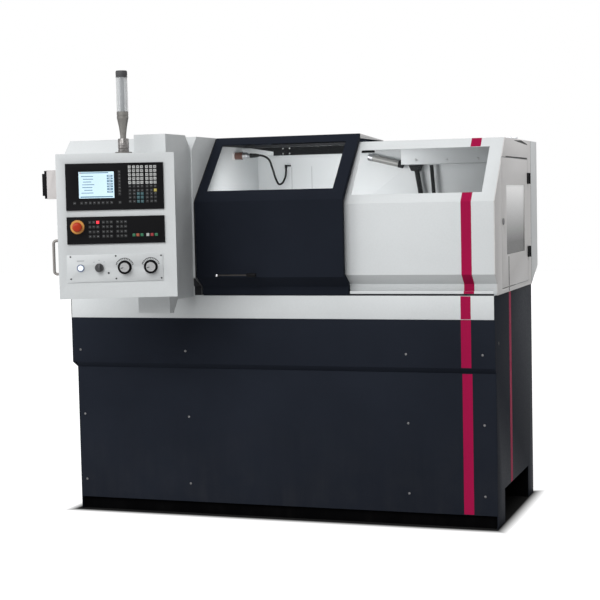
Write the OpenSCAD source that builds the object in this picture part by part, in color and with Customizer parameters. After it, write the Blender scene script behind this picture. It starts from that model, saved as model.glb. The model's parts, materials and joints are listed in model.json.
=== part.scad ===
// Compact flat-bed turning lathe with an enclosure, a sliding hood door and a swung-out control box.
// Lengths are in millimetres, +X along the spindle to the right, +Y to the back, +Z up from the floor.
// Heights from the tray upwards are measured from the top edge of the base.

/* [Base] */
// Length of the base cabinet
base_l = 2008; // [1807:1:2209]
// Depth of the base cabinet
base_d = 870; // [783:1:957]
// Height of the base cabinet's top edge
base_h = 1010; // [909:1:1111]
// Height of the light band under the top edge
band_h = 103; // [93:1:113]
// Height of the dark upper front
upper_h = 209; // [188:1:230]
// Height of the slanted step under the upper front
step_h = 23; // [21:1:25]
// How far the lower front stands back
lower_inset = 18; // [17:1:19]
// How far the lower left end stands back
left_inset = 16; // [15:1:17]
// Height of the open strip under the lower front
plinth_h = 57; // [51:1:63]
// Front beam behind the lower front
plinth_back = 20; // [18:1:22]
// Height of the passage under the base, and of both beams
tunnel_h = 150; // [135:1:165]
// From the lower front to the front beam's back
beam_front_d = 157; // [141:1:173]
// Depth of the rear beam
beam_rear_d = 125; // [113:1:137]
// Wall of both beams
beam_wall = 8; // [7:0.5:9]
// Height of the cross members between the beams
cross_h = 40; // [36:1:44]
// Width of the cross members
cross_w = 120; // [108:1:132]
// Floor anchor holes, from the right
anchor_x_off = -124; // [-136:1:-112]
// Floor anchor holes, from the back
anchor_y_off = -85; // [-93:1:-77]
// Radius of a floor anchor hole
anchor_r = 10; // [9:1:11]
// Thickness of the sheet metal
sheet = 3; // [2:0.5:4]
// Depth of a folded panel edge
panel_return = 25; // [23:1:27]
// Depth of the light band's top flange
sill_d = 40; // [36:1:44]
// Width of the cabinet's top flanges
ring_w = 60; // [54:1:66]
// Height of the motor shelf, below the base's top
shelf_z = -360; // [-396:1:-324]
// Thickness of the motor shelf
shelf_t = 8; // [7:0.5:9]
// Front edge of the motor shelf
shelf_y = 100; // [90:1:110]
// How far a cut runs past the material
over = 2; // [1:1:4]

/* [Tray and bed] */
// Spindle axis, front to back
axis_y = -110; // [-121:1:-99]
// Spindle axis above the bed
swing_h = 175; // [157:1:193]
// Left end of the bed, from the left
bed_x0_off = 194; // [175:1:213]
// Right end of the bed, from the right
bed_x1_off = -68; // [-75:1:-61]
// Half the width of the bed
bed_half = 150; // [135:1:165]
// Height of the bed's rails
bed_h = 160; // [144:1:176]
// Width of one bed rail
rail_w = 70; // [63:1:77]
// Height of the ribs between the rails
rib_h = 55; // [49:1:61]
// Thickness of a rib
rib_t = 30; // [27:1:33]
// Height of the two screw bearing blocks
block_h = 120; // [108:1:132]
// Thickness of the two screw bearing blocks
block_t = 40; // [36:1:44]
// Left side of the left bearing block, from the left
block_x0_off = 614; // [553:1:675]
// Left end of the raised way, from the left
way_x0_off = 674; // [607:1:741]
// Width of the raised way
way_w = 24; // [22:1:26]
// Height of the raised way
way_h = 14; // [13:1:15]
// Room around the raised way
way_gap = 1; // [1:0.5:2]
// Width of a bed leg
leg_w = 300; // [270:1:330]
// Wall of a bed leg
leg_wall = 25; // [23:1:27]
// Middle of the left bed leg, from the left
leg_left_x_off = 364; // [328:1:400]
// Middle of the right bed leg, from the right
leg_right_x_off = -294; // [-323:1:-265]
// Left end of the chip tray, from the left
tray_x0_off = 674; // [607:1:741]
// Right end of the chip tray, from the right
tray_x1_off = -8; // [-9:0.5:-7]
// Bottom of the chip tray, below the base's top
tray_z = -190; // [-209:1:-171]
// Width of the tray's hanging rim
tray_rim = 15; // [14:1:16]
// Room around what passes through the tray
seal_gap = 3; // [2:0.5:4]
// Radius of the feed screw
screw_r = 14; // [13:1:15]
// Feed screw below the spindle axis
screw_drop = 245; // [221:1:269]
// Feed screw beyond its right block
screw_end = 15; // [14:1:16]

/* [Headstock and spindle] */
// Left face of the headstock, from the left
head_x0_off = 204; // [184:1:224]
// Right face of the headstock, from the left
head_x1_off = 604; // [544:1:664]
// Half the width of the headstock
head_half = 140; // [126:1:154]
// Height of the headstock above the spindle axis
head_up = 155; // [139:1:171]
// Bevel of the headstock's top edges
head_chamfer = 60; // [54:1:66]
// Radius of the spindle in its bearings
spindle_r = 50; // [45:1:55]
// Radial room of a running shaft
run_gap = 0.05; // [0.02:0.01:0.1]
// Room of a sliding or turning piece
slip_gap = 0.3; // [0.2:0.1:0.5]
// Left end of the spindle, from the left
spindle_x0_off = 104; // [94:1:114]
// Room between the headstock and the spindle nose
face_gap = 1; // [1:0.5:2]
// Thickness of the spindle nose
nose_t = 27; // [24:1:30]
// Radius of the spindle nose
nose_r = 82; // [74:1:90]
// Radius of the bore through chuck and spindle
bore_r = 26; // [23:1:29]
// Thickness of the chuck
chuck_t = 90; // [81:1:99]
// Radius of the chuck
chuck_r = 100; // [90:1:110]
// Bevel of the chuck's front edge
chuck_bevel = 8; // [7:0.5:9]
// Radius of a chuck key socket
key_r = 7; // [6:0.5:8]
// Depth of a chuck key socket
key_d = 30; // [27:1:33]
// Width of a chuck jaw
jaw_w = 22; // [20:1:24]
// Depth of a jaw slot
jaw_slot_d = 25; // [23:1:27]
// Distance from the axis to a jaw's inner end
jaw_in = 34; // [31:1:37]
// Length of a jaw's foot
jaw_l = 58; // [52:1:64]
// How far a jaw stands out of the chuck
jaw_h = 34; // [31:1:37]
// Length of a jaw's grip step
jaw_step = 22; // [20:1:24]
// Width of both belt pulleys
pulley_w = 60; // [54:1:66]
// Left side of both belt pulleys, from the left
pulley_x0_off = 119; // [107:1:131]
// Radius of the spindle pulley
pulley_r = 80; // [72:1:88]
// Thickness of a pulley rim
rim_t = 8; // [7:0.5:9]
// Height of a pulley rim
rim_h = 6; // [5:0.5:7]
// Thickness of the belt
belt_t = 5; // [4:0.5:6]
// Motor axis, front to back
motor_y = 230; // [207:1:253]
// Motor axis above the base, below the base's top
motor_z = -250; // [-275:1:-225]
// Radius of the spindle motor
motor_r = 85; // [77:1:93]
// Left face of the spindle motor, from the left
motor_x0_off = 214; // [193:1:235]
// Length of the spindle motor
motor_l = 290; // [261:1:319]
// Length of the motor's foot
motor_foot = 220; // [198:1:242]
// Radius of the motor pulley
motor_pulley_r = 55; // [49:1:61]
// Radius of the motor shaft
shaft_r = 14; // [13:1:15]
// How far the motor shaft runs into the motor
shaft_in = 60; // [54:1:66]

/* [Carriage and turret] */
// Middle of the carriage, from the right
carriage_x_off = -714; // [-785:1:-643]
// Length of the saddle along the bed
saddle_l = 300; // [270:1:330]
// Front of the saddle
saddle_y0 = -300; // [-330:1:-270]
// Back of the saddle
saddle_y1 = 120; // [108:1:132]
// Height of the saddle
saddle_h = 50; // [45:1:55]
// Length of the screw nut's bracket
nut_l = 80; // [72:1:88]
// Half the width of the screw nut's bracket
nut_half = 40; // [36:1:44]
// Nut bracket below the feed screw's axis
nut_drop = 25; // [23:1:27]
// Width of the cross guide
guide_w = 120; // [108:1:132]
// Height of the cross guide
guide_h = 25; // [23:1:27]
// Length of the cross slide along the bed
cross_l = 220; // [198:1:242]
// Front of the cross slide, from the back
cross_y0_off = -515; // [-567:1:-463]
// Back of the cross slide, from the back
cross_y1_off = -225; // [-247:1:-203]
// Height of the cross slide over its guide
cross_up = 44; // [40:1:48]
// Turret axis, from the back
turret_y_off = -290; // [-319:1:-261]
// Half the width of the turret's housing
turret_half = 80; // [72:1:88]
// Turret's housing above its axis
turret_up = 85; // [77:1:93]
// Turret housing, left of the carriage's middle
turret_side = 155; // [139:1:171]
// Turret housing, right of the carriage's middle
turret_right = 100; // [90:1:110]
// Radius of the turret disc over its corners
disc_r = 120; // [108:1:132]
// Thickness of the turret disc
disc_t = 55; // [49:1:61]
// Room between the turret disc and its housing
disc_gap = 5; // [4:0.5:6]
// Radius of the turret disc's shaft
disc_shaft_r = 25; // [23:1:27]
// Length of the turret disc's shaft in its housing
disc_shaft_l = 70; // [63:1:77]
// Width of a tool
tool_w = 25; // [23:1:27]
// Length of a tool
tool_l = 60; // [54:1:66]
// Distance from the turret's axis to a tool's tip
tool_out = 150; // [135:1:165]

/* [Tailstock] */
// Left face of the tailstock, from the right
tail_x0_off = -384; // [-422:1:-346]
// Length of the tailstock
tail_l = 240; // [216:1:264]
// Half the width of the tailstock's body
tail_half = 70; // [63:1:77]
// Height of the tailstock's foot
tail_foot_h = 50; // [45:1:55]
// Tailstock above the spindle axis
tail_up = 65; // [59:1:71]
// Height of the quill clamp's hub
lever_h = 24; // [22:1:26]
// Length of the quill clamp's lever
lever_l = 80; // [72:1:88]
// Radius of the quill clamp's lever
lever_r = 5; // [4:0.5:6]
// Radius of the quill
quill_r = 32; // [29:1:35]
// How far the quill stands out
quill_out = 60; // [54:1:66]
// Length of the quill inside the tailstock
quill_in = 180; // [162:1:198]
// Length of the centre point
center_l = 40; // [36:1:44]
// Radius of the tailstock's handwheel
wheel_r = 85; // [77:1:93]
// Thickness of the handwheel's rim
wheel_t = 18; // [17:1:19]
// Width of the handwheel's rim
wheel_rim = 14; // [13:1:15]
// Room between tailstock and handwheel
wheel_gap = 20; // [18:1:22]
// Radius of the handwheel's shaft
wheel_shaft_r = 12; // [11:1:13]
// Handwheel's shaft inside the tailstock
wheel_shaft_in = 40; // [36:1:44]
// Radius of the handwheel's grip
wheel_grip_r = 9; // [8:0.5:10]
// Length of the handwheel's grip
wheel_grip_l = 40; // [36:1:44]

/* [Covers] */
// Left end of the headstock cover, from the left
hood_x0_off = 29; // [26:1:32]
// Right end of the headstock cover, from the left
hood_x1_off = 664; // [598:1:730]
// Top of the headstock cover
hood_top = 717; // [645:1:789]
// Front of the headstock cover, from the front
hood_y_off = -75; // [-83:1:-67]
// Bevel along the headstock cover's top edge
hood_chamfer = 60; // [54:1:66]
// Back of the covers, from the back
cover_rear_y_off = -23; // [-25:1:-21]
// Radius of the hole around the chuck
chuck_hole_r = 110; // [99:1:121]
// Bottom of the covers' upright front
foot_z = 86; // [77:1:95]
// Bottom of the slanted step below it
foot_in_z = 41; // [37:1:45]
// Left edge of the right cover, from the right
right_x0_off = -674; // [-741:1:-607]
// Right edge of the right cover, from the right
right_x1_off = 4; // [3:0.5:5]
// Front of the right cover, from the front
right_y_off = -17; // [-18:1:-16]
// Height where the right cover starts to lean back
right_kink_z = 403; // [363:1:443]
// Front edge of the right cover's roof, from the front
right_top_y_off = 227; // [204:1:250]
// Top of the right cover
right_top = 678; // [610:1:746]
// Bottom of the right cover's upright front
right_foot_z = 92; // [83:1:101]
// Front of the right cover's lower strip, from the front
right_in_y_off = 31; // [28:1:34]
// Top of the right cover's lower strip
right_in_z = 50; // [45:1:55]
// Left edge of the right window, from the right
right_win_x0_off = -632; // [-695:1:-569]
// Right edge of the right window, from the right
right_win_x1_off = -53; // [-58:1:-48]
// Lower edge of the right window, up the slant
right_win_s0 = 52; // [47:1:57]
// Upper edge of the right window, up the slant
right_win_s1 = 316; // [284:1:348]
// Thickness of a window pane
pane_t = 5; // [4:0.5:6]
// How far a pane laps behind its frame
pane_lap = 14; // [13:1:15]
// Back of the rear cabinet, from the back
rear_y_off = 136; // [122:1:150]
// Height where the rear cabinet starts to slant
rear_low_z = 81; // [73:1:89]
// Lower front edge of the rear cabinet
rear_in_z = 3; // [2:0.5:4]
// Air slots in from the cabinet's edges
louvre_in = 180; // [162:1:198]
// Length of an air slot
louvre_w = 260; // [234:1:286]
// Height of an air slot
louvre_h = 6; // [5:0.5:7]
// Thickness of the right end panel and its door
end_t = 4; // [3:0.5:5]
// Front of the back wall, from the back
wall_y_off = -105; // [-115:1:-95]
// Front edge of the fixed roof, from the back
roof_y_off = -315; // [-347:1:-283]
// Depth of the fixed roof's front flange
roof_drop = 36; // [32:1:40]
// Underside of the cable ledge, from the roof
ledge_z_off = -99; // [-109:1:-89]
// Front edge of the cable ledge, from the back
ledge_y_off = -255; // [-281:1:-229]
// Left end of the cable ledge, from the right
ledge_x_off = -566; // [-623:1:-509]

/* [Sliding door] */
// Left edge of the door, from the left
door_x0_off = 670; // [603:1:737]
// Right edge of the door, from the right
door_x1_off = -648; // [-713:1:-583]
// Front of the door, from the front
door_y_off = -70; // [-77:1:-63]
// Height where the door starts to lean back
door_kink_z = 425; // [383:1:467]
// Front edge of the door's roof, from the front
door_top_y_off = 215; // [193:1:237]
// Top of the door, from the roof
door_top_off = 38; // [34:1:42]
// Back edge of the door's roof, from the back
door_rear_y_off = -263; // [-289:1:-237]
// Depth of the door's back flange
door_lip = 23; // [21:1:25]
// Bottom edge of the door
door_low = 4; // [3:0.5:5]
// Depth of the door's side flanges
door_flange = 25; // [23:1:27]
// Left edge of the door window, from the left
door_win_x0_off = 712; // [641:1:783]
// Right edge of the door window, from the right
door_win_x1_off = -704; // [-774:1:-634]
// Lower edge of the door window, up the slant
door_win_s0 = 66; // [59:1:73]
// Upper edge of the door window, up the slant
door_win_s1 = 361; // [325:1:397]
// Left end of the door rails, from the left
rail_x0_off = 669; // [602:1:736]
// Right end of the door rails, from the right
rail_x1_off = -4; // [-5:0.5:-3]
// Front of the upper rail, from the back
rail_y_off = -305; // [-335:1:-275]
// Depth of the upper rail
rail_d = 20; // [18:1:22]
// Height of the upper rail
rail_h = 12; // [11:1:13]
// Front of the lower rail, from the front
low_rail_y_off = 5; // [4:0.5:6]
// Height of the lower rail
low_rail_h = 20; // [18:1:22]
// Length of a door shoe
shoe_l = 80; // [72:1:88]
// Distance from the door's edge to its shoe
shoe_in = 60; // [54:1:66]
// Depth of a door shoe
shoe_d = 36; // [32:1:40]
// Left end of the door handle, from the left
grip_x0_off = 783; // [705:1:861]
// Right end of the door handle, from the left
grip_x1_off = 969; // [872:1:1066]
// Height of the door handle
grip_z = 98; // [88:1:108]
// Stand-off of the door handle
grip_out = 38; // [34:1:42]
// Radius of the door handle's bar
grip_r = 4.5; // [3.5:0.5:5.5]
// Radius of the door handle's posts
grip_end_r = 7; // [6:0.5:8]
// Radius of the dark grip
knob_r = 9; // [8:0.5:10]
// Length of the dark grip
knob_l = 44; // [40:1:48]

/* [End door] */
// Front edge of the end door, from the front
end_y0_off = 138; // [124:1:152]
// Back edge of the end door, from the back
end_y1_off = -116; // [-128:1:-104]
// Lower edge of the end door
end_z0 = 23; // [21:1:25]
// Upper edge of the end door
end_z1 = 589; // [530:1:648]
// Room around the end door
end_gap = 3; // [2:0.5:4]
// Front edge of the end window, from the front
end_win_y0_off = 246; // [221:1:271]
// Back edge of the end window, from the back
end_win_y1_off = -190; // [-209:1:-171]
// Lower edge of the end window
end_win_z0 = 165; // [149:1:181]
// Upper edge of the end window
end_win_z1 = 470; // [423:1:517]
// End door's hinge axis, from the back
hinge_y_off = -100; // [-110:1:-90]
// Radius of a hinge barrel
hinge_r = 6; // [5:0.5:7]
// Room between hinge barrel and panel
hinge_lift = 0.2; // [0.1:0.1:0.4]
// Height of a hinge
hinge_h = 51; // [46:1:56]
// Width of a hinge leaf
hinge_w = 26; // [23:1:29]
// Thickness of a hinge leaf
hinge_t = 5; // [4:0.5:6]
// Radius of a hinge pin
pin_r = 3; // [2:0.5:4]
// Middle of the upper hinge
hinge_top_z = 501; // [451:1:551]
// Middle of the lower hinge
hinge_low_z = 158; // [142:1:174]
// Lock axis, from the front
lock_y_off = 162; // [146:1:178]
// Lock axis above the base
lock_z = 312; // [281:1:343]
// Radius of the lock's barrel
lock_r = 10; // [9:1:11]
// Radius of the lock's head
lock_head_r = 14; // [13:1:15]
// Height of the lock's head
lock_out = 5; // [4:0.5:6]
// Length of the lock's barrel inside the door
lock_in = 10; // [9:1:11]
// Width of the lock's cam
cam_w = 14; // [13:1:15]
// Thickness of the lock's cam
cam_t = 3; // [2:0.5:4]
// Length of the lock's cam
cam_l = 45; // [41:1:49]

/* [Console and control box] */
// Left side of the console, from the left
console_x0_off = 509; // [458:1:560]
// Right side of the console, from the left
console_x1_off = 658; // [592:1:724]
// Front of the console, from the front
console_y_off = -345; // [-379:1:-311]
// Top of the console
console_top = 720; // [648:1:792]
// Console's top in front of the headstock cover
console_back_in = 55; // [49:1:61]
// Bottom of the slope behind the console's top
console_slope_z = 657; // [591:1:723]
// Lower end of the console, below the base's top
console_low = -53; // [-58:1:-48]
// Depth of the console's lower end
console_low_d = 40; // [36:1:44]
// Back of the slope under the console, from the front
console_under_y_off = -255; // [-281:1:-229]
// Underside of the console
console_under_z = 2; // [1:0.5:3]
// Wall of the console
console_wall = 4; // [3:0.5:5]
// Swivel axis of the control box, from the left
pivot_x_off = 626; // [563:1:689]
// Swivel axis of the control box, from the front
pivot_y_off = -370; // [-407:1:-333]
// Lower end of the swivel pin
pivot_z0 = 230; // [207:1:253]
// Upper end of the swivel pin
pivot_z1 = 460; // [414:1:506]
// Radius of the swivel pin
pivot_r = 8; // [7:0.5:9]
// Radius of a swivel lug
lug_r = 15; // [14:1:16]
// Height of a swivel lug
lug_h = 30; // [27:1:33]
// Radius of the swivel sleeve
sleeve_r = 15; // [14:1:16]
// How far the control box is swung out, in degrees
panel_turn = 24; // [0:1:50]
// Left side of the control box from its swivel
box_x0 = -419; // [-461:1:-377]
// Width of the control box
box_w = 492; // [443:1:541]
// Front of the control box from its swivel
box_front = -148; // [-163:1:-133]
// Back of the control box from its swivel
box_back = -18; // [-19:1:-17]
// Underside of the control box
box_z0 = 30; // [27:1:33]
// Height of the control box
box_h = 606; // [545:1:667]
// Thickness of a panel bezel
bezel_t = 6; // [5:0.5:7]
// Left edge of the display unit and the key panel
unit_x0 = -380; // [-418:1:-342]
// Width of the display unit and the key panel
unit_w = 407; // [366:1:448]
// Lower edge of the display unit
display_z0 = 400; // [360:1:440]
// Height of the display unit
display_h = 195; // [175:1:215]
// Depth of the units behind the box front
unit_d = 60; // [54:1:66]
// How far a bezel laps over its cut-out
unit_lap = 12; // [11:1:13]
// Left edge of the screen
screen_x0 = -325; // [-357:1:-293]
// Width of the screen
screen_w = 146; // [131:1:161]
// Lower edge of the screen
screen_z0 = 450; // [405:1:495]
// Height of the screen
screen_h = 110; // [99:1:121]
// Thickness of the screen
screen_t = 2; // [1:0.5:3]
// Width of a key
key_w = 12; // [11:1:13]
// Height of a key
key_t = 1.5; // [1:0.5:2]
// Lower edge of the key panel
keys_z0 = 259; // [233:1:285]
// Height of the key panel
keys_h = 114; // [103:1:125]
// Stop button from the swivel
stop_x = -336; // [-370:1:-302]
// Stop button above the base
stop_z = 331; // [298:1:364]
// Radius of the stop button's head
stop_r = 20; // [18:1:22]
// Thickness of the stop button's head
stop_t = 15; // [14:1:16]
// Radius of the stop button's shaft
stop_shaft_r = 11; // [10:1:12]
// Room under the stop button's head
stop_gap = 12; // [11:1:13]
// Radius of the stop button's collar
collar_r = 29; // [26:1:32]
// Thickness of the stop button's collar
collar_t = 4; // [3:0.5:5]
// Left edge of the switch plate
plate_x0 = -384; // [-422:1:-346]
// Width of the switch plate
plate_w = 399; // [359:1:439]
// Lower edge of the switch plate
plate_z0 = 99; // [89:1:109]
// Height of the switch plate
plate_h = 115; // [103:1:127]
// How far the switch plate laps over its cut-out
plate_lap = 15; // [14:1:16]
// Height of the switches
switch_z = 159; // [143:1:175]
// Push button from the swivel
push_x = -328; // [-361:1:-295]
// Radius of the push button
push_r = 11; // [10:1:12]
// Width of the push button's ring
push_ring = 4; // [3:0.5:5]
// How far the push button stands out of its plate
push_out = 9; // [8:0.5:10]
// Selector from the swivel
select_x = -251; // [-276:1:-226]
// Radius of the selector
select_r = 18; // [17:1:19]
// Thickness of the selector's disc
select_t = 10; // [9:1:11]
// Height and width of the selector's grip bar
select_bar = 12; // [11:1:13]
// Left dial from the swivel
dial_a_x = -145; // [-159:1:-131]
// Right dial from the swivel
dial_b_x = -36; // [-40:1:-32]
// Radius of a dial's skirt
dial_r = 29; // [26:1:32]
// Thickness of a dial's skirt
dial_skirt = 6; // [5:0.5:7]
// Radius of a dial's cap
dial_cap_r = 23; // [21:1:25]
// Height of a dial's cap
dial_cap = 20; // [18:1:22]
// Radius of a dial's shaft
dial_shaft_r = 6; // [5:0.5:7]
// How far the switches run in behind their plate
switch_in = 22; // [20:1:24]
// Room between a knob and its plate
switch_gap = 1; // [0:0.5:2]

/* [Lamp fan and handle] */
// Signal lamp from the swivel, left to right
beacon_x = -137; // [-151:1:-123]
// Signal lamp from the swivel, front to back
beacon_y = -85; // [-93:1:-77]
// Radius of the signal lamp's flange
beacon_flange_r = 36; // [32:1:40]
// Thickness of the signal lamp's flange
beacon_flange_t = 6; // [5:0.5:7]
// Radius of the signal lamp's collar
beacon_collar_r = 23; // [21:1:25]
// Height of the signal lamp's collar
beacon_collar_h = 56; // [50:1:62]
// Radius of the signal lamp's neck
beacon_neck_r = 12.5; // [11:0.5:14]
// Height of the signal lamp's neck
beacon_neck_h = 12; // [11:1:13]
// Height of the flare above the neck
beacon_flare_h = 74; // [67:1:81]
// Radius of the signal lamp
beacon_r = 24.5; // [23:0.5:26]
// Height of the band under the lens
beacon_band_h = 27; // [24:1:30]
// Height of the lens
beacon_lens_h = 143; // [129:1:157]
// Wall of the lens
beacon_wall = 4; // [3:0.5:5]
// Radius of the light column inside the lens
beacon_core_r = 12; // [11:1:13]
// Height of the signal lamp's cap
beacon_cap_h = 29; // [26:1:32]
// Width of the fan
fan_w = 120; // [108:1:132]
// Thickness of the fan
fan_t = 38; // [34:1:42]
// Middle of the fan from the swivel, front to back
fan_y = -85; // [-93:1:-77]
// Middle of the fan above the base
fan_z = 510; // [459:1:561]
// Radius of the fan's opening
fan_r = 56; // [50:1:62]
// Radius of the fan's hub
fan_hub_r = 24; // [22:1:26]
// Width of a fan strut
fan_strut = 6; // [5:0.5:7]
// Width of the fan's guard
guard_w = 116; // [104:1:128]
// Thickness of each step of the guard
guard_step = 10; // [9:1:11]
// How far the guard's outer step stands in
guard_in = 12; // [11:1:13]
// Height of a slot in the guard
guard_bar = 7; // [6:0.5:8]
// Middle of the side handle above the base
bar_z = 204; // [184:1:224]
// Length of the side handle
bar_l = 153; // [138:1:168]
// Side handle from the swivel, front to back
bar_y = -95; // [-105:1:-85]
// Stand-off of the side handle
bar_out = 22; // [20:1:24]
// Radius of the side handle
bar_r = 6; // [5:0.5:7]

/* [Inside fittings] */
// Left end of the work lamp, from the right
tube_x0_off = -760; // [-836:1:-684]
// Left end of the work lamp, from the roof
tube_z0_off = -55; // [-61:1:-49]
// Right end of the work lamp, from the right
tube_x1_off = -586; // [-645:1:-527]
// Right end of the work lamp, from the roof
tube_z1_off = -98; // [-108:1:-88]
// Radius of the work lamp
tube_r = 18; // [17:1:19]
// Room between the work lamp and the back wall
tube_gap = 12; // [11:1:13]
// Left conduit, from the right
hose_a_x_off = -526; // [-579:1:-473]
// Lean of the left conduit
hose_a_lean = 9.4; // [8.4:0.5:10.4]
// Radius of the left conduit
hose_a_r = 13; // [12:1:14]
// Right conduit, from the right
hose_b_x_off = -448; // [-493:1:-403]
// Lean of the right conduit
hose_b_lean = 4.3; // [3.3:0.5:5.3]
// Radius of the right conduit
hose_b_r = 10; // [9:1:11]
// Both conduits, from the back
hose_y_off = -139; // [-153:1:-125]
// Height of the conduit clamp
clamp_h = 28; // [25:1:31]
// Width of the conduit clamp
clamp_w = 62; // [56:1:68]
// Clamp below the ledge
clamp_drop = 2; // [1:0.5:3]
// Left side of the conduit box, from the right
hose_box_x0_off = -549; // [-604:1:-494]
// Width of the conduit box
hose_box_w = 142; // [128:1:156]
// Lower side of the conduit box
hose_box_z0 = 140; // [126:1:154]
// Height of the conduit box
hose_box_h = 100; // [90:1:110]
// Depth of the conduit box
hose_box_d = 58; // [52:1:64]
// Lead plug, front to back
plug_y = 0; // [-20:1:20]
// Height of the lead plug
plug_z = 638; // [574:1:702]
// Radius of the lead plug
plug_r = 18; // [17:1:19]
// Length of the lead plug
plug_l = 116; // [104:1:128]
// Radius of the lead socket
socket_r = 7; // [6:0.5:8]
// Height of the lead socket
socket_h = 16; // [15:1:17]
// Radius of the hanging lead
lead_r = 5; // [4:0.5:6]

/* [Hidden] */
$fn = 48;

front_y = -base_d / 2;
back_y = base_d / 2;
left_x = -base_l / 2;
right_x = base_l / 2;
anchor_x = right_x + anchor_x_off;
anchor_y = back_y + anchor_y_off;
bed_x0 = left_x + bed_x0_off;
bed_x1 = right_x + bed_x1_off;
block_x0 = left_x + block_x0_off;
way_x0 = left_x + way_x0_off;
leg_left_x = left_x + leg_left_x_off;
leg_right_x = right_x + leg_right_x_off;
tray_x0 = left_x + tray_x0_off;
tray_x1 = right_x + tray_x1_off;
head_x0 = left_x + head_x0_off;
head_x1 = left_x + head_x1_off;
spindle_x0 = left_x + spindle_x0_off;
pulley_x0 = left_x + pulley_x0_off;
motor_x0 = left_x + motor_x0_off;
carriage_x = right_x + carriage_x_off;
cross_y0 = back_y + cross_y0_off;
cross_y1 = back_y + cross_y1_off;
turret_y = back_y + turret_y_off;
tail_x0 = right_x + tail_x0_off;
hood_x0 = left_x + hood_x0_off;
hood_x1 = left_x + hood_x1_off;
hood_y = front_y + hood_y_off;
cover_rear_y = back_y + cover_rear_y_off;
right_x0 = right_x + right_x0_off;
right_x1 = right_x + right_x1_off;
right_y = front_y + right_y_off;
right_top_y = front_y + right_top_y_off;
right_in_y = front_y + right_in_y_off;
right_win_x0 = right_x + right_win_x0_off;
right_win_x1 = right_x + right_win_x1_off;
rear_y = back_y + rear_y_off;
wall_y = back_y + wall_y_off;
roof_y = back_y + roof_y_off;
ledge_z = right_top + ledge_z_off;
ledge_y = back_y + ledge_y_off;
ledge_x = right_x + ledge_x_off;
door_x0 = left_x + door_x0_off;
door_x1 = right_x + door_x1_off;
door_y = front_y + door_y_off;
door_top_y = front_y + door_top_y_off;
door_top = right_top + door_top_off;
door_rear_y = back_y + door_rear_y_off;
door_win_x0 = left_x + door_win_x0_off;
door_win_x1 = right_x + door_win_x1_off;
rail_x0 = left_x + rail_x0_off;
rail_x1 = right_x + rail_x1_off;
rail_y = back_y + rail_y_off;
low_rail_y = front_y + low_rail_y_off;
grip_x0 = left_x + grip_x0_off;
grip_x1 = left_x + grip_x1_off;
end_y0 = front_y + end_y0_off;
end_y1 = back_y + end_y1_off;
end_win_y0 = front_y + end_win_y0_off;
end_win_y1 = back_y + end_win_y1_off;
hinge_y = back_y + hinge_y_off;
lock_y = front_y + lock_y_off;
console_x0 = left_x + console_x0_off;
console_x1 = left_x + console_x1_off;
console_y = front_y + console_y_off;
console_under_y = front_y + console_under_y_off;
pivot_x = left_x + pivot_x_off;
pivot_y = front_y + pivot_y_off;
tube_x0 = right_x + tube_x0_off;
tube_z0 = right_top + tube_z0_off;
tube_x1 = right_x + tube_x1_off;
tube_z1 = right_top + tube_z1_off;
hose_a_x = right_x + hose_a_x_off;
hose_b_x = right_x + hose_b_x_off;
hose_y = back_y + hose_y_off;
hose_box_x0 = right_x + hose_box_x0_off;
lower_y = front_y + lower_inset;
lower_x = left_x + left_inset;
band_z = base_h - band_h;
upper_z = band_z - upper_h;
step_z = upper_z - step_h;
sill_y = front_y + sill_d;
beam_y0 = lower_y + plinth_back;
beam_y1 = lower_y + beam_front_d;
beam_y2 = back_y - beam_rear_d;
beam_y3 = back_y - sheet;
bed_top = 0;
axis_z = bed_top + swing_h;
bed_z0 = bed_top - bed_h;
leg_z = tunnel_h - base_h;
bed_y0 = axis_y - bed_half;
bed_y1 = axis_y + bed_half;
way_y = bed_y0 + rail_w / 2;
screw_z = axis_z - screw_drop;
nose_x = head_x1 + face_gap;
chuck_x0 = nose_x + nose_t;
chuck_x1 = chuck_x0 + chuck_t;
pulley_x1 = pulley_x0 + pulley_w;
saddle_x0 = carriage_x - saddle_l / 2;
saddle_z = bed_top + saddle_h;
guide_z = saddle_z + guide_h;
cross_z = guide_z + cross_up;
disc_x1 = carriage_x - turret_side - disc_gap;
disc_x0 = disc_x1 - disc_t;
tail_x1 = tail_x0 + tail_l;
end_x0 = right_x1;
end_x1 = right_x1 + end_t;
hinge_x = end_x1 + hinge_r + hinge_lift;
box_x1 = box_x0 + box_w;
box_z1 = box_z0 + box_h;
bezel_y = box_front - bezel_t;
plate_y = box_front - sheet;
unit_x1 = unit_x0 + unit_w;
low_rail_y1 = low_rail_y + sheet;
shoe_y = rail_y + rail_d / 2 - shoe_d / 2;
wheel_x0 = tail_x1 + wheel_gap;
jaw_turns = [90, 210, 330];
tool_count = 8;
rib_xs_shares = [0.12, 0.3, 0.48, 0.66, 0.84];
foot_share = 0.6;
louvre_count = 10;
hub_share = 0.3;
key_cols_shares = [0.655, 0.698, 0.740, 0.779, 0.831, 0.874, 0.914];
key_rows_shares = [0.093, 0.175, 0.26, 0.344, 0.427, 0.509, 0.595, 0.665, 0.743, 0.829];
soft_first_share = 0.1595;
soft_step_share = 0.0436;
soft_row_share = 0.845;
soft_ends_shares = [0.088, 0.55];
side_col_share = 0.55;
side_first_share = 0.19;
side_step_share = 0.068;
soft_count = 8;
panel_cols_shares = [0.236, 0.276, 0.316, 0.374, 0.414, 0.454, 0.519, 0.559, 0.599];
panel_rows_shares = [0.208, 0.375, 0.558, 0.725];
colour_cols_shares = [0.683, 0.723, 0.765, 0.825, 0.868, 0.912];
colour_row_share = 0.7;
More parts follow.
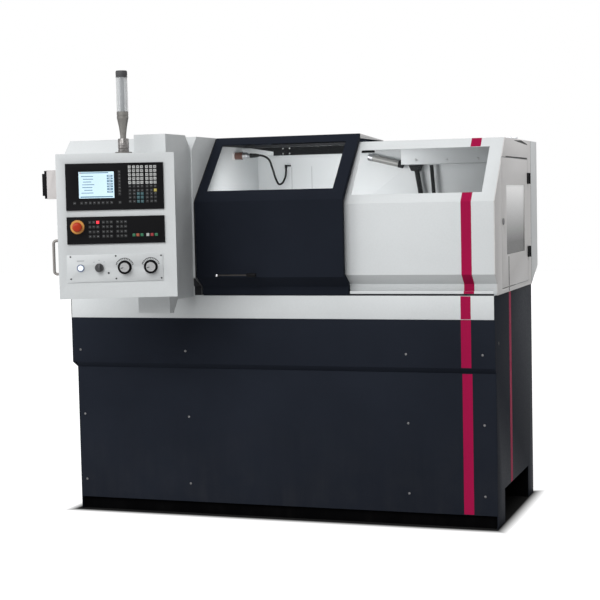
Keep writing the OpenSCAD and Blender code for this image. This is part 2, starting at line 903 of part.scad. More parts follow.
// Route of the hanging lead from its plug to its socket
lead_route = [
  [0, 0, 0], [14, 0, 0], [28, 1.5, -1.5], [40, 6, -6], [50, 13, -13], [56, 22, -22], [58.5, 33, -33],
  [58, 46, -46], [57.5, 61, -61], [57, 78, -77], [55, 95, -93], [54, 113, -108], [53, 131, -121], [52, 147, -130],
  [51, 163, -136], [50, 181, -138], [50, 205, -135], [51, 227, -128], [51, 246, -116],
  [52, 261, -101], [52, 271, -84], [52, 274, -66], [52, 274, -58]
];
lead_start = [hood_x1 + plug_l, plug_y, plug_z];
lead_end = lead_start + lead_route[len(lead_route) - 1];
lead_sides = 10;

front_line = [[front_y, band_z], [front_y, upper_z], [lower_y, step_z]];
side_line = [
  [front_y, base_h], [front_y, upper_z], [lower_y, step_z], [lower_y, 0], [beam_y1, 0],
  [beam_y1, tunnel_h], [beam_y2, tunnel_h], [beam_y2, 0], [back_y, 0], [back_y, base_h]
];
hood_line = [
  [cover_rear_y, hood_top], [hood_y + hood_chamfer, hood_top], [hood_y, hood_top - hood_chamfer],
  [hood_y, foot_z], [front_y, foot_in_z], [front_y, 0]
];
right_line = [
  [cover_rear_y, right_top], [right_top_y, right_top], [right_y, right_kink_z],
  [right_y, right_foot_z], [right_in_y, right_in_z], [right_in_y, 0]
];
door_line = [
  [door_rear_y, door_top - door_lip], [door_rear_y, door_top], [door_top_y, door_top],
  [door_y, door_kink_z], [door_y, foot_z], [front_y, foot_in_z], [front_y, door_low]
];
rear_line = [
  [cover_rear_y, right_top], [rear_y, right_top], [rear_y, rear_low_z], [cover_rear_y, rear_in_z]
];
console_line = [
  [hood_y, console_slope_z], [hood_y - console_back_in, console_top], [console_y, console_top],
  [console_y, console_low], [console_y + console_low_d, console_low],
  [console_under_y, console_under_z], [hood_y, console_under_z]
];
right_lean = atan2(right_top_y - right_y, right_top - right_kink_z);
door_lean = atan2(door_top_y - door_y, door_top - door_kink_z);

function along(a, b) = (b - a) / norm(b - a);
function side(d) = [-d[1], d[0]];
function before(p, i) = i > 0 ? along(p[i - 1], p[i]) : along(p[0], p[1]);
function after(p, i) = i < len(p) - 1 ? along(p[i], p[i + 1]) : before(p, i);
function inset(p, i, t) = let(a = side(before(p, i)), b = side(after(p, i))) p[i] + (a + b) * t / (1 + a * b);
function fold(p, t) = concat(p, [for (i = [len(p) - 1:-1:0]) inset(p, i, t)]);
function lead_way(i, p) =
  i == 0 ? [1, 0, 0] : i == len(p) - 1 ? [0, 0, 1] : along(p[i - 1], p[i + 1]);
function lead_ring(p, d, r) =
  let(u = along([0, 0, 0], cross(d, [1, 0, 1])), v = cross(u, d))
  [for (k = [0:lead_sides - 1]) p + r * (cos(360 * k / lead_sides) * u + sin(360 * k / lead_sides) * v)];

module block(x0, x1, y0, y1, z0, z1) {
  translate([x0, y0, z0]) cube([x1 - x0, y1 - y0, z1 - z0]);
}
module prism_x(x0, x1, p) {
  translate([x0, 0, 0]) rotate([90, 0, 90]) linear_extrude(x1 - x0) polygon(p);
}
module prism_y(y0, y1, p) {
  translate([0, y1, 0]) rotate([90, 0, 0]) linear_extrude(y1 - y0) polygon(p);
}
module rod_x(x0, x1, y, z, r) {
  translate([x0, y, z]) rotate([0, 90, 0]) cylinder(h = x1 - x0, r = r);
}
module rod_y(y0, y1, x, z, r) {
  translate([x, y0, z]) rotate([-90, 0, 0]) cylinder(h = y1 - y0, r = r);
}
module rod_z(z0, z1, x, y, r) {
  translate([x, y, z0]) cylinder(h = z1 - z0, r = r);
}
module on_slant(y, z, lean) {
  translate([0, y, z]) rotate([-lean, 0, 0]) children();
}
module on_base() {
  translate([0, 0, base_h]) children();
}
module on_panel() {
  translate([pivot_x, pivot_y, 0]) rotate([0, 0, panel_turn]) children();
}
module way_groove(x0, x1) {
  prism_x(x0, x1, [
    [way_y - way_w / 2 - way_gap, bed_top - over], [way_y + way_w / 2 + way_gap, bed_top - over],
    [way_y + way_w / 2 + way_gap, bed_top], [way_y, bed_top + way_h + way_gap],
    [way_y - way_w / 2 - way_gap, bed_top]
  ]);
}

module base_frame() color([0.06, 0.06, 0.07]) {
  difference() {
    union() {
      block(lower_x + sheet, right_x - sheet, beam_y0, beam_y1, 0, tunnel_h);
      block(lower_x + sheet, right_x - sheet, beam_y2, beam_y3, 0, tunnel_h);
      for (x = [leg_left_x, leg_right_x])
        block(x - cross_w / 2, x + cross_w / 2, beam_y1 - beam_wall, beam_y2 + beam_wall,
          tunnel_h - cross_h, tunnel_h);
    }
    block(lower_x, right_x, beam_y0 + beam_wall, beam_y1 - beam_wall, beam_wall, tunnel_h - beam_wall);
    block(lower_x, right_x, beam_y2 + beam_wall, beam_y3 - beam_wall, beam_wall, tunnel_h - beam_wall);
    for (x = [-anchor_x, anchor_x])
      for (y = [-anchor_y, anchor_y])
        rod_z(-over, beam_wall + over, x, y, anchor_r);
  }
}

module base_cabinet() color([0.11, 0.12, 0.15]) {
  prism_x(right_x - sheet, right_x, side_line);
  intersection() {
    prism_y(front_y, back_y, fold([
      [left_x, base_h], [left_x, upper_z], [lower_x, step_z], [lower_x, 0]
    ], sheet));
    prism_x(left_x - over, lower_x + sheet + over, side_line);
  }
  block(lower_x + sheet, right_x - sheet, back_y - sheet, back_y, 0, base_h);
  block(left_x + sheet, lower_x + sheet, back_y - sheet, back_y, upper_z, base_h);
  block(left_x, right_x, back_y - ring_w, back_y, base_h - sheet, base_h);
  block(left_x, left_x + ring_w, sill_y, back_y, base_h - sheet, base_h);
  block(right_x - ring_w, right_x, sill_y, back_y, base_h - sheet, base_h);
  block(lower_x, motor_x0 + motor_l, shelf_y, back_y - sheet, base_h + shelf_z, base_h + shelf_z + shelf_t);
}

module lower_front_panel() color([0.11, 0.12, 0.15]) {
  prism_x(lower_x + sheet, right_x - sheet, fold([
    [lower_y + panel_return, step_z], [lower_y, step_z],
    [lower_y, plinth_h], [lower_y + plinth_back, plinth_h]
  ], sheet));
}

module upper_front_panel() color([0.11, 0.12, 0.15]) {
  prism_x(lower_x + sheet, right_x - sheet, fold(front_line, sheet));
  prism_x(left_x + sheet, right_x - sheet, fold([
    [front_y + panel_return, band_z], [front_y, band_z], [front_y, upper_z]
  ], sheet));
}

module front_sill_panel() color([0.84, 0.86, 0.87]) {
  prism_x(left_x + sheet, right_x - sheet, fold([
    [sill_y, base_h], [front_y, base_h], [front_y, band_z]
  ], sheet));
}

module chip_tray() color([0.78, 0.8, 0.81]) {
  y0 = sill_y + sheet;
  y1 = back_y - ring_w - sheet;
  z1 = -sheet;
  difference() {
    union() {
      block(tray_x0, tray_x1, y0, y1, tray_z, z1);
      block(tray_x0, tray_x1, y0 - tray_rim, y1 + tray_rim, z1 - sheet, z1);
    }
    block(tray_x0 + sheet, tray_x1 - sheet, y0 + sheet, y1 - sheet, tray_z + sheet, z1 + over);
    block(tray_x0 - over, tray_x0 + sheet + over, bed_y0 - seal_gap, bed_y1 + seal_gap,
      bed_z0 - seal_gap, z1 + over);
    block(leg_right_x - leg_w / 2 - seal_gap, leg_right_x + leg_w / 2 + seal_gap,
      bed_y0 - seal_gap, bed_y1 + seal_gap, tray_z - over, tray_z + sheet + over);
  }
}

module bed() color([0.35, 0.37, 0.39]) {
  difference() {
    union() {
      block(bed_x0, bed_x1, bed_y0, bed_y0 + rail_w, bed_z0, bed_top);
      block(bed_x0, bed_x1, bed_y1 - rail_w, bed_y1, bed_z0, bed_top);
      for (s = rib_xs_shares)
        block(bed_x0 + s * (bed_x1 - bed_x0) - rib_t / 2, bed_x0 + s * (bed_x1 - bed_x0) + rib_t / 2,
          bed_y0, bed_y1, bed_z0, bed_z0 + rib_h);
      for (x = [block_x0, bed_x1 - block_t])
        block(x, x + block_t, bed_y0, bed_y1, bed_z0, bed_z0 + block_h);
      for (x = [leg_left_x, leg_right_x])
        difference() {
          block(x - leg_w / 2, x + leg_w / 2, bed_y0, bed_y1, leg_z, bed_z0 + leg_wall);
          block(x - leg_w / 2 + leg_wall, x + leg_w / 2 - leg_wall, bed_y0 + leg_wall, bed_y1 - leg_wall,
            leg_z - over, bed_z0);
        }
      prism_x(way_x0, bed_x1, [
        [way_y - way_w / 2, bed_top], [way_y + way_w / 2, bed_top], [way_y, bed_top + way_h]
      ]);
    }
    rod_x(block_x0 - over, bed_x1 + over, axis_y, screw_z, screw_r + run_gap);
  }
}

module headstock() color([0.35, 0.37, 0.39]) {
  difference() {
    prism_x(head_x0, head_x1, [
      [axis_y - head_half, bed_top], [axis_y + head_half, bed_top],
      [axis_y + head_half, axis_z + head_up - head_chamfer],
      [axis_y + head_half - head_chamfer, axis_z + head_up],
      [axis_y - head_half + head_chamfer, axis_z + head_up],
      [axis_y - head_half, axis_z + head_up - head_chamfer]
    ]);
    rod_x(head_x0 - over, head_x1 + over, axis_y, axis_z, spindle_r + run_gap);
  }
}

module spindle() color([0.7, 0.71, 0.72]) {
  difference() {
    union() {
      rod_x(spindle_x0, nose_x + nose_t, axis_y, axis_z, spindle_r);
      rod_x(nose_x, nose_x + nose_t, axis_y, axis_z, nose_r);
      rod_x(pulley_x0, pulley_x1, axis_y, axis_z, pulley_r);
      for (x = [pulley_x0, pulley_x1 - rim_t])
        rod_x(x, x + rim_t, axis_y, axis_z, pulley_r + rim_h);
    }
    rod_x(spindle_x0 - over, nose_x + nose_t + over, axis_y, axis_z, bore_r);
  }
}

module chuck() color([0.55, 0.56, 0.58]) {
  difference() {
    union() {
      rod_x(chuck_x0, chuck_x1 - chuck_bevel, axis_y, axis_z, chuck_r);
      translate([chuck_x1 - chuck_bevel, axis_y, axis_z]) rotate([0, 90, 0])
        cylinder(h = chuck_bevel, r1 = chuck_r, r2 = chuck_r - chuck_bevel);
    }
    for (a = jaw_turns)
      translate([0, axis_y, axis_z]) rotate([a + 180, 0, 0])
        rod_y(chuck_r - key_d, chuck_r + over, (chuck_x0 + chuck_x1 - jaw_slot_d) / 2, 0, key_r);
    rod_x(chuck_x0 - over, chuck_x1 + over, axis_y, axis_z, bore_r);
    for (a = jaw_turns)
      translate([0, axis_y, axis_z]) rotate([a, 0, 0])
        block(chuck_x1 - jaw_slot_d, chuck_x1 + over, 0, chuck_r + over,
          -jaw_w / 2 - slip_gap, jaw_w / 2 + slip_gap);
  }
}
module jaw(a) color([0.62, 0.63, 0.65]) {
  translate([0, axis_y, axis_z]) rotate([a, 0, 0]) {
    block(chuck_x1 - jaw_slot_d, chuck_x1 + jaw_h / 2, jaw_in, jaw_in + jaw_l, -jaw_w / 2, jaw_w / 2);
    block(chuck_x1, chuck_x1 + jaw_h, jaw_in, jaw_in + jaw_step, -jaw_w / 2, jaw_w / 2);
  }
}
module jaw_1() { jaw(jaw_turns[0]); }
module jaw_2() { jaw(jaw_turns[1]); }
module jaw_3() { jaw(jaw_turns[2]); }

module spindle_motor() color([0.22, 0.24, 0.27]) {
  difference() {
    union() {
      rod_x(motor_x0, motor_x0 + motor_l, motor_y, motor_z, motor_r);
      block(motor_x0 + (motor_l - motor_foot) / 2, motor_x0 + (motor_l + motor_foot) / 2,
        motor_y - motor_r, motor_y + motor_r, shelf_z + shelf_t, motor_z - motor_r * foot_share);
    }
    rod_x(motor_x0 - over, motor_x0 + shaft_in + over, motor_y, motor_z, shaft_r + run_gap);
  }
}

module motor_pulley() color([0.6, 0.61, 0.62]) {
  rod_x(pulley_x0, pulley_x1, motor_y, motor_z, motor_pulley_r);
  for (x = [pulley_x0, pulley_x1 - rim_t])
    rod_x(x, x + rim_t, motor_y, motor_z, motor_pulley_r + rim_h);
  rod_x(pulley_x0, motor_x0 + shaft_in, motor_y, motor_z, shaft_r);
}

module belt_shape(t) {
  hull() {
    translate([axis_y, axis_z]) circle(pulley_r + t);
    translate([motor_y, motor_z]) circle(motor_pulley_r + t);
  }
}
module drive_belt() color([0.05, 0.05, 0.05]) {
  x0 = pulley_x0 + rim_t + way_gap;
  x1 = pulley_x1 - rim_t - way_gap;
  translate([x0, 0, 0]) rotate([90, 0, 90]) linear_extrude(x1 - x0)
    difference() {
      belt_shape(slip_gap + belt_t);
      belt_shape(slip_gap);
    }
}

module z_ball_screw() color([0.72, 0.73, 0.74]) {
  rod_x(block_x0 - screw_end, bed_x1 + screw_end, axis_y, screw_z, screw_r);
}

module carriage() color([0.33, 0.35, 0.37]) {
  difference() {
    union() {
      block(saddle_x0, saddle_x0 + saddle_l, saddle_y0, saddle_y1, bed_top, saddle_z);
      block(carriage_x - guide_w / 2, carriage_x + guide_w / 2, saddle_y0, saddle_y1, saddle_z, guide_z);
      block(carriage_x - nut_l / 2, carriage_x + nut_l / 2, axis_y - nut_half, axis_y + nut_half,
        screw_z - nut_drop, bed_top);
    }
    way_groove(saddle_x0 - over, saddle_x0 + saddle_l + over);
    rod_x(saddle_x0 - over, saddle_x0 + saddle_l + over, axis_y, screw_z, screw_r + slip_gap);
  }
}

module cross_slide() color([0.8, 0.82, 0.83]) {
  difference() {
    union() {
      block(carriage_x - cross_l / 2, carriage_x + cross_l / 2, cross_y0, cross_y1, saddle_z + way_gap, cross_z);
      block(carriage_x - turret_side, carriage_x + turret_right, turret_y - turret_half,
        turret_y + turret_half, cross_z, axis_z + turret_up);
    }
    block(carriage_x - guide_w / 2 - slip_gap, carriage_x + guide_w / 2 + slip_gap,
      cross_y0 - over, cross_y1 + over, saddle_z, guide_z);
    rod_x(carriage_x - turret_side - over, carriage_x - turret_side + disc_shaft_l + over,
      turret_y, axis_z, disc_shaft_r + run_gap);
  }
}

module turret_disc() color([0.45, 0.47, 0.49]) {
  translate([disc_x0, turret_y, axis_z]) rotate([0, 90, 0]) rotate([0, 0, 180 / tool_count])
    cylinder(h = disc_t, r = disc_r, $fn = tool_count);
  rod_x(disc_x1 - disc_gap, disc_x1 + disc_gap + disc_shaft_l, turret_y, axis_z, disc_shaft_r);
  translate([(disc_x0 + disc_x1) / 2, turret_y, axis_z])
    for (k = [0:tool_count - 1])
      rotate([360 * k / tool_count, 0, 0])
        block(-tool_w / 2, tool_w / 2, -tool_out, tool_l - tool_out, -tool_w / 2, tool_w / 2);
}

module tailstock() color([0.33, 0.35, 0.37]) {
  difference() {
    union() {
      block(tail_x0, tail_x1, bed_y0, bed_y1, bed_top, bed_top + tail_foot_h);
      block(tail_x0, tail_x1, axis_y - tail_half, axis_y + tail_half, bed_top, axis_z);
      rod_x(tail_x0, tail_x1, axis_y, axis_z, tail_up);
      translate([tail_x0 + tail_l * foot_share, axis_y, axis_z]) {
        rod_z(0, tail_up + lever_h, 0, 0, lever_h / 2);
        translate([0, 0, tail_up + lever_h / 2]) rotate([60, 0, 0]) cylinder(h = lever_l, r = lever_r);
      }
    }
    way_groove(tail_x0 - over, tail_x1 + over);
    rod_x(tail_x0 - over, tail_x1 - wheel_shaft_in - face_gap, axis_y, axis_z, quill_r + run_gap);
    rod_x(tail_x1 - wheel_shaft_in - over, tail_x1 + over, axis_y, axis_z, wheel_shaft_r + run_gap);
  }
}

module quill() color([0.74, 0.75, 0.76]) {
  rod_x(tail_x0 - quill_out, tail_x0 + quill_in, axis_y, axis_z, quill_r);
  translate([tail_x0 - quill_out, axis_y, axis_z]) rotate([0, -90, 0])
    cylinder(h = center_l, r1 = quill_r * foot_share, r2 = 0);
}

module tailstock_wheel() color([0.1, 0.1, 0.11]) {
  difference() {
    rod_x(wheel_x0, wheel_x0 + wheel_t, axis_y, axis_z, wheel_r);
    rod_x(wheel_x0 - over, wheel_x0 + wheel_t + over, axis_y, axis_z, wheel_r - wheel_rim);
  }
  for (a = [0, 120, 240])
    translate([0, axis_y, axis_z]) rotate([a, 0, 0])
      block(wheel_x0, wheel_x0 + wheel_t, 0, wheel_r - wheel_rim / 2, -wheel_rim / 2, wheel_rim / 2);
  rod_x(wheel_x0, wheel_x0 + wheel_t, axis_y, axis_z, wheel_r * hub_share);
  rod_x(tail_x1 - wheel_shaft_in, wheel_x0 + wheel_t, axis_y, axis_z, wheel_shaft_r);
  rod_x(wheel_x0 + wheel_t, wheel_x0 + wheel_t + wheel_grip_l, axis_y,
    axis_z + wheel_r - wheel_rim / 2, wheel_grip_r);
}

module headstock_cover() color([0.84, 0.86, 0.87]) {
  shape = concat(hood_line, [[cover_rear_y, 0]]);
  prism_x(hood_x0, hood_x1, fold(hood_line, sheet));
  prism_x(hood_x0, hood_x0 + sheet, shape);
  block(hood_x0, hood_x1, cover_rear_y - sheet, cover_rear_y, 0, hood_top);
  difference() {
    prism_x(hood_x1 - sheet, hood_x1, shape);
    rod_x(hood_x1 - sheet - over, hood_x1 + over, axis_y, axis_z, chuck_hole_r);
  }
}

module right_cover() color([0.84, 0.86, 0.87]) {
  difference() {
    prism_x(right_x0, right_x1, fold(right_line, sheet));
    on_slant(right_y, right_kink_z, right_lean)
      block(right_win_x0, right_win_x1, -over, sheet + over, right_win_s0, right_win_s1);
  }
  prism_x(right_x0, right_x0 + sheet, fold(
    concat([[wall_y, right_top]], [for (i = [1:len(right_line) - 1]) right_line[i]]), panel_return));
}

module right_window() color([0.75, 0.8, 0.84, 0.4]) {
  on_slant(right_y, right_kink_z, right_lean)
    block(right_win_x0 - pane_lap, right_win_x1 + pane_lap, sheet + run_gap, sheet + pane_t,
      right_win_s0 - pane_lap, right_win_s1 + pane_lap);
}

module right_end_panel() color([0.8, 0.82, 0.83]) {
  difference() {
    prism_x(end_x0, end_x1, concat(right_line, [[cover_rear_y, 0]]));
    block(end_x0 - over, end_x1 + over, end_y0 - end_gap, end_y1 + end_gap, end_z0 - end_gap, end_z1 + end_gap);
  }
}

module end_hinge_leaves() color([0.05, 0.05, 0.05]) {
  for (z = [hinge_low_z, hinge_top_z]) {
    difference() {
      block(end_x1, end_x1 + hinge_t, hinge_y, hinge_y + hinge_w, z - hinge_h / 2, z + hinge_h / 2);
      rod_z(z, z + hinge_h, hinge_x, hinge_y, hinge_r + slip_gap);
    }
    rod_z(z - hinge_h / 2, z, hinge_x, hinge_y, hinge_r);
    rod_z(z - hinge_h / 2, z + hinge_h / 2, hinge_x, hinge_y, pin_r);
  }
}

module end_hinge_knuckles() color([0.05, 0.05, 0.05]) {
  for (z = [hinge_low_z, hinge_top_z])
    difference() {
      union() {
        difference() {
          block(end_x1, end_x1 + hinge_t, hinge_y - hinge_w, hinge_y, z - hinge_h / 2, z + hinge_h / 2);
          rod_z(z - hinge_h, z + hinge_lift, hinge_x, hinge_y, hinge_r + slip_gap);
        }
        rod_z(z + hinge_lift, z + hinge_h / 2, hinge_x, hinge_y, hinge_r);
      }
      rod_z(z - hinge_h, z + hinge_h, hinge_x, hinge_y, pin_r + run_gap);
    }
}

module end_door() color([0.8, 0.82, 0.83]) {
  difference() {
    block(end_x0, end_x1, end_y0, end_y1, end_z0, end_z1);
    block(end_x0 - over, end_x1 + over, end_win_y0, end_win_y1, end_win_z0, end_win_z1);
    rod_x(end_x0 - over, end_x1 + over, lock_y, lock_z, lock_r + run_gap);
  }
}

module end_door_window() color([0.6, 0.64, 0.66, 0.6]) {
  block(end_x0 - pane_t, end_x0, end_win_y0 - pane_lap, end_win_y1 + pane_lap,
    end_win_z0 - pane_lap, end_win_z1 + pane_lap);
}

module end_door_lock() color([0.5, 0.51, 0.52]) {
  rod_x(end_x0 - lock_in, end_x1 + hinge_lift, lock_y, lock_z, lock_r);
  rod_x(end_x1 + hinge_lift, end_x1 + hinge_lift + lock_out, lock_y, lock_z, lock_head_r);
  block(end_x0 - lock_in, end_x0 - lock_in + cam_t, lock_y - cam_w / 2, lock_y + cam_w / 2,
    lock_z - cam_l, lock_z);
}

module rear_cabinet() color([0.84, 0.86, 0.87]) {
  difference() {
    prism_x(hood_x0, end_x1, rear_line);
    prism_x(hood_x0 + sheet, end_x1 - sheet, [
      [cover_rear_y - over, right_top - sheet], [rear_y - sheet, right_top - sheet],
      [rear_y - sheet, rear_low_z + sheet], [cover_rear_y - over, rear_in_z + sheet]
    ]);
    for (x = [hood_x0 + louvre_in, end_x1 - louvre_in - louvre_w])
      for (k = [0:louvre_count - 1])
        block(x, x + louvre_w, rear_y - sheet / 2, rear_y + over,
          rear_low_z + louvre_in + k * louvre_h * 3, rear_low_z + louvre_in + (k * 3 + 1) * louvre_h);
  }
}

module back_wall() color([0.86, 0.88, 0.89]) {
  block(hood_x1, right_x1, wall_y, wall_y + sheet, 0, right_top - sheet);
  block(hood_x1, right_x0, roof_y, cover_rear_y, right_top - sheet, right_top);
  block(hood_x1, right_x0, roof_y, roof_y + sheet, right_top - roof_drop, right_top);
  block(ledge_x, right_x1, ledge_y, wall_y + sheet, ledge_z, ledge_z + sheet);
  block(ledge_x, right_x1, ledge_y, ledge_y + sheet, ledge_z, right_top - sheet);
}

module door_rails() color([0.62, 0.63, 0.64]) {
  block(rail_x0, rail_x1, rail_y, rail_y + rail_d, right_top, right_top + rail_h);
  block(rail_x0, rail_x1, low_rail_y, low_rail_y1, 0, low_rail_h);
}

module sliding_door() color([0.11, 0.12, 0.15]) {
  difference() {
    union() {
      prism_x(door_x0, door_x1, fold(door_line, sheet));
      for (x = [door_x0, door_x1 - sheet])
        prism_x(x, x + sheet, fold(door_line, door_flange));
      for (x = [door_x0 + shoe_in, door_x1 - shoe_in - shoe_l])
        block(x, x + shoe_l, shoe_y, shoe_y + shoe_d, right_top + rail_h, door_top - sheet);
    }
    on_slant(door_y, door_kink_z, door_lean)
      block(door_win_x0, door_win_x1, -over, sheet + over, door_win_s0, door_win_s1);
    block(door_x0 - over, door_x1 + over, front_y + sheet, low_rail_y1 + sheet,
      door_low - over, low_rail_h + sheet);
    block(door_x0 - over, door_x1 + over, roof_y, door_rear_y - sheet, right_top, right_top + rail_h);
  }
}

module door_window() color([0.75, 0.8, 0.84, 0.4]) {
  on_slant(door_y, door_kink_z, door_lean)
    block(door_win_x0 - pane_lap, door_win_x1 + pane_lap, sheet + run_gap, sheet + pane_t,
      door_win_s0 - pane_lap, door_win_s1 + pane_lap);
}

module door_handle() color([0.75, 0.76, 0.77]) {
  y = door_y - grip_out;
  rod_x(grip_x0 - grip_end_r, grip_x1, y, grip_z, grip_r);
  rod_x(grip_x1 - knob_l, grip_x1, y, grip_z, knob_r);
  rod_y(y - grip_end_r, door_y, grip_x0, grip_z, grip_end_r);
  rod_y(y, door_y, grip_x1 - knob_l / 2, grip_z, grip_end_r);
}

module console() color([0.84, 0.86, 0.87]) {
  difference() {
    prism_x(console_x0, console_x1, console_line);
    prism_x(console_x0 + console_wall, console_x1 - console_wall, [
      [hood_y + over, console_slope_z - console_wall],
      [hood_y - console_back_in, console_top - console_wall - console_wall],
      [console_y + console_wall, console_top - console_wall],
      [console_y + console_wall, console_low + console_wall],
      [console_y + console_low_d, console_low + console_wall],
      [console_under_y, console_under_z + console_wall], [hood_y + over, console_under_z + console_wall]
    ]);
  }
  for (z = [pivot_z0, pivot_z1 - lug_h]) {
    rod_z(z, z + lug_h, pivot_x, pivot_y, lug_r);
    block(pivot_x - lug_r, pivot_x + lug_r, pivot_y, console_y + console_wall, z, z + lug_h);
  }
  rod_z(pivot_z0, pivot_z1, pivot_x, pivot_y, pivot_r);
}

module control_box() color([0.84, 0.86, 0.87]) {
  on_panel() difference() {
    block(box_x0, box_x1, box_front, box_back - sheet, box_z0, box_z1);
    block(box_x0 + sheet, box_x1 - sheet, box_front + sheet, box_back, box_z0 + sheet, box_z1 - sheet);
    block(unit_x0 + unit_lap, unit_x1 - unit_lap, box_front - over, box_front + sheet + over,
      display_z0 + unit_lap, display_z0 + display_h - unit_lap);
    block(unit_x0 + unit_lap, unit_x1 - unit_lap, box_front - over, box_front + sheet + over,
      keys_z0 + unit_lap, keys_z0 + keys_h - unit_lap);
    block(plate_x0 + plate_lap, plate_x0 + plate_w - plate_lap, box_front - over, box_front + sheet + over,
      plate_z0 + plate_lap, plate_z0 + plate_h - plate_lap);
    rod_x(box_x0 - over, box_x0 + sheet + over, fan_y, fan_z, fan_r);
  }
}

module control_box_back() color([0.84, 0.86, 0.87]) {
  on_panel() difference() {
    union() {
      block(box_x0, box_x1, box_back - sheet, box_back, box_z0, box_z1);
      rod_z(pivot_z0 + lug_h + face_gap, pivot_z1 - lug_h - face_gap, 0, 0, sleeve_r);
      block(-sleeve_r, sleeve_r, box_back, 0, pivot_z0 + lug_h + face_gap, pivot_z1 - lug_h - face_gap);
    }
    rod_z(pivot_z0, pivot_z1, 0, 0, pivot_r + run_gap);
  }
}

module unit_body(z0, h) {
  block(unit_x0, unit_x1, bezel_y, box_front, z0, z0 + h);
  block(unit_x0 + unit_lap + face_gap, unit_x1 - unit_lap - face_gap, box_front, box_front + unit_d,
    z0 + unit_lap + face_gap, z0 + h - unit_lap - face_gap);
}

module display_panel() color([0.05, 0.05, 0.06]) {
  on_panel() difference() {
    unit_body(display_z0, display_h);
    block(screen_x0, screen_x0 + screen_w, bezel_y - over, bezel_y + screen_t, screen_z0, screen_z0 + screen_h);
  }
}

module display_screen() color([0.72, 0.82, 0.9]) {
  on_panel()
    block(screen_x0, screen_x0 + screen_w, bezel_y, bezel_y + screen_t, screen_z0, screen_z0 + screen_h);
}

module key(x, z) {
  block(x - key_w / 2, x + key_w / 2, bezel_y - key_t, bezel_y, z - key_w / 2, z + key_w / 2);
}
module panel_keys() color([0.85, 0.86, 0.86]) {
  on_panel() {
    for (c = key_cols_shares)
      for (r = key_rows_shares)
        key(unit_x0 + c * unit_w, display_z0 + display_h - r * display_h);
    for (k = [0:soft_count - 1]) {
      key(unit_x0 + (soft_first_share + k * soft_step_share) * unit_w,
        display_z0 + display_h - soft_row_share * display_h);
      key(unit_x0 + side_col_share * unit_w,
        display_z0 + display_h - (side_first_share + k * side_step_share) * display_h);
    }
    for (c = soft_ends_shares)
      key(unit_x0 + c * unit_w, display_z0 + display_h - soft_row_share * display_h);
    for (c = panel_cols_shares)
      for (r = panel_rows_shares)
        key(unit_x0 + c * unit_w, keys_z0 + keys_h - r * keys_h);
    for (c = colour_cols_shares)
      key(unit_x0 + c * unit_w, keys_z0 + keys_h - colour_row_share * keys_h);
  }
}

module operator_panel() color([0.06, 0.06, 0.07]) {
  on_panel() difference() {
    union() {
      unit_body(keys_z0, keys_h);
      rod_y(bezel_y - collar_t, bezel_y, stop_x, stop_z, collar_r);
    }
    rod_y(bezel_y - collar_t - over, box_front + unit_d + over, stop_x, stop_z, stop_shaft_r + slip_gap);
  }
}

module estop_button() color([0.75, 0.06, 0.06]) {
  y0 = bezel_y - collar_t - stop_gap;
  on_panel() {
    rod_y(y0 - stop_t * foot_share, y0, stop_x, stop_z, stop_r);
    translate([stop_x, y0 - stop_t * foot_share, stop_z]) rotate([90, 0, 0])
      cylinder(h = stop_t * (1 - foot_share), r1 = stop_r, r2 = stop_r * foot_share);
    rod_y(y0, box_front + switch_in, stop_x, stop_z, stop_shaft_r);
  }
}

module switch_plate() color([0.84, 0.86, 0.87]) {
  on_panel() difference() {
    union() {
      block(plate_x0, plate_x0 + plate_w, plate_y, box_front, plate_z0, plate_z0 + plate_h);
      rod_y(plate_y - sheet, plate_y, push_x, switch_z, push_r + push_ring);
    }
    for (x = [push_x, select_x])
      rod_y(plate_y - sheet - over, box_front + over, x, switch_z, push_r + slip_gap);
    for (x = [dial_a_x, dial_b_x])
      rod_y(plate_y - over, box_front + over, x, switch_z, dial_shaft_r + slip_gap);
  }
}

module power_button() color([0.92, 0.94, 0.95]) {
  on_panel() rod_y(plate_y - push_out, box_front + switch_in, push_x, switch_z, push_r);
}

module mode_switch() color([0.06, 0.06, 0.06]) {
  y0 = plate_y - switch_gap;
  on_panel() {
    rod_y(y0 - select_t, y0, select_x, switch_z, select_r);
    rod_y(y0, box_front + switch_in, select_x, switch_z, push_r);
    block(select_x - select_bar / 2, select_x + select_bar / 2, y0 - select_t - select_bar, y0 - select_t,
      switch_z - select_r, switch_z + select_r);
  }
}

module dial(x) color([0.7, 0.71, 0.72]) {
  y0 = plate_y - switch_gap;
  on_panel() {
    rod_y(y0 - dial_skirt, y0, x, switch_z, dial_r);
    rod_y(y0 - dial_skirt - dial_cap, y0 - dial_skirt, x, switch_z, dial_cap_r);
    rod_y(y0, box_front + switch_in, x, switch_z, dial_shaft_r);
  }
}
module spindle_dial() { dial(dial_a_x); }
module feed_dial() { dial(dial_b_x); }

module signal_lamp_base() color([0.2, 0.21, 0.22]) {
  z1 = beacon_flange_t;
  z2 = z1 + beacon_collar_h;
  z3 = z2 + beacon_neck_h;
  z4 = z3 + beacon_flare_h;
  z5 = z4 + beacon_band_h;
  z6 = z5 + beacon_lens_h;
  z7 = z6 + beacon_cap_h;
  on_panel() translate([beacon_x, beacon_y, box_z1]) rotate_extrude() polygon([
    [0, 0], [beacon_flange_r, 0], [beacon_flange_r, z1], [beacon_collar_r, z1], [beacon_collar_r, z2],
    [beacon_neck_r, z2], [beacon_neck_r, z3], [beacon_r, z4], [beacon_r, z5], [beacon_core_r, z5],
    [beacon_core_r, z6], [beacon_r, z6], [beacon_r, z7], [0, z7]
  ]);
}

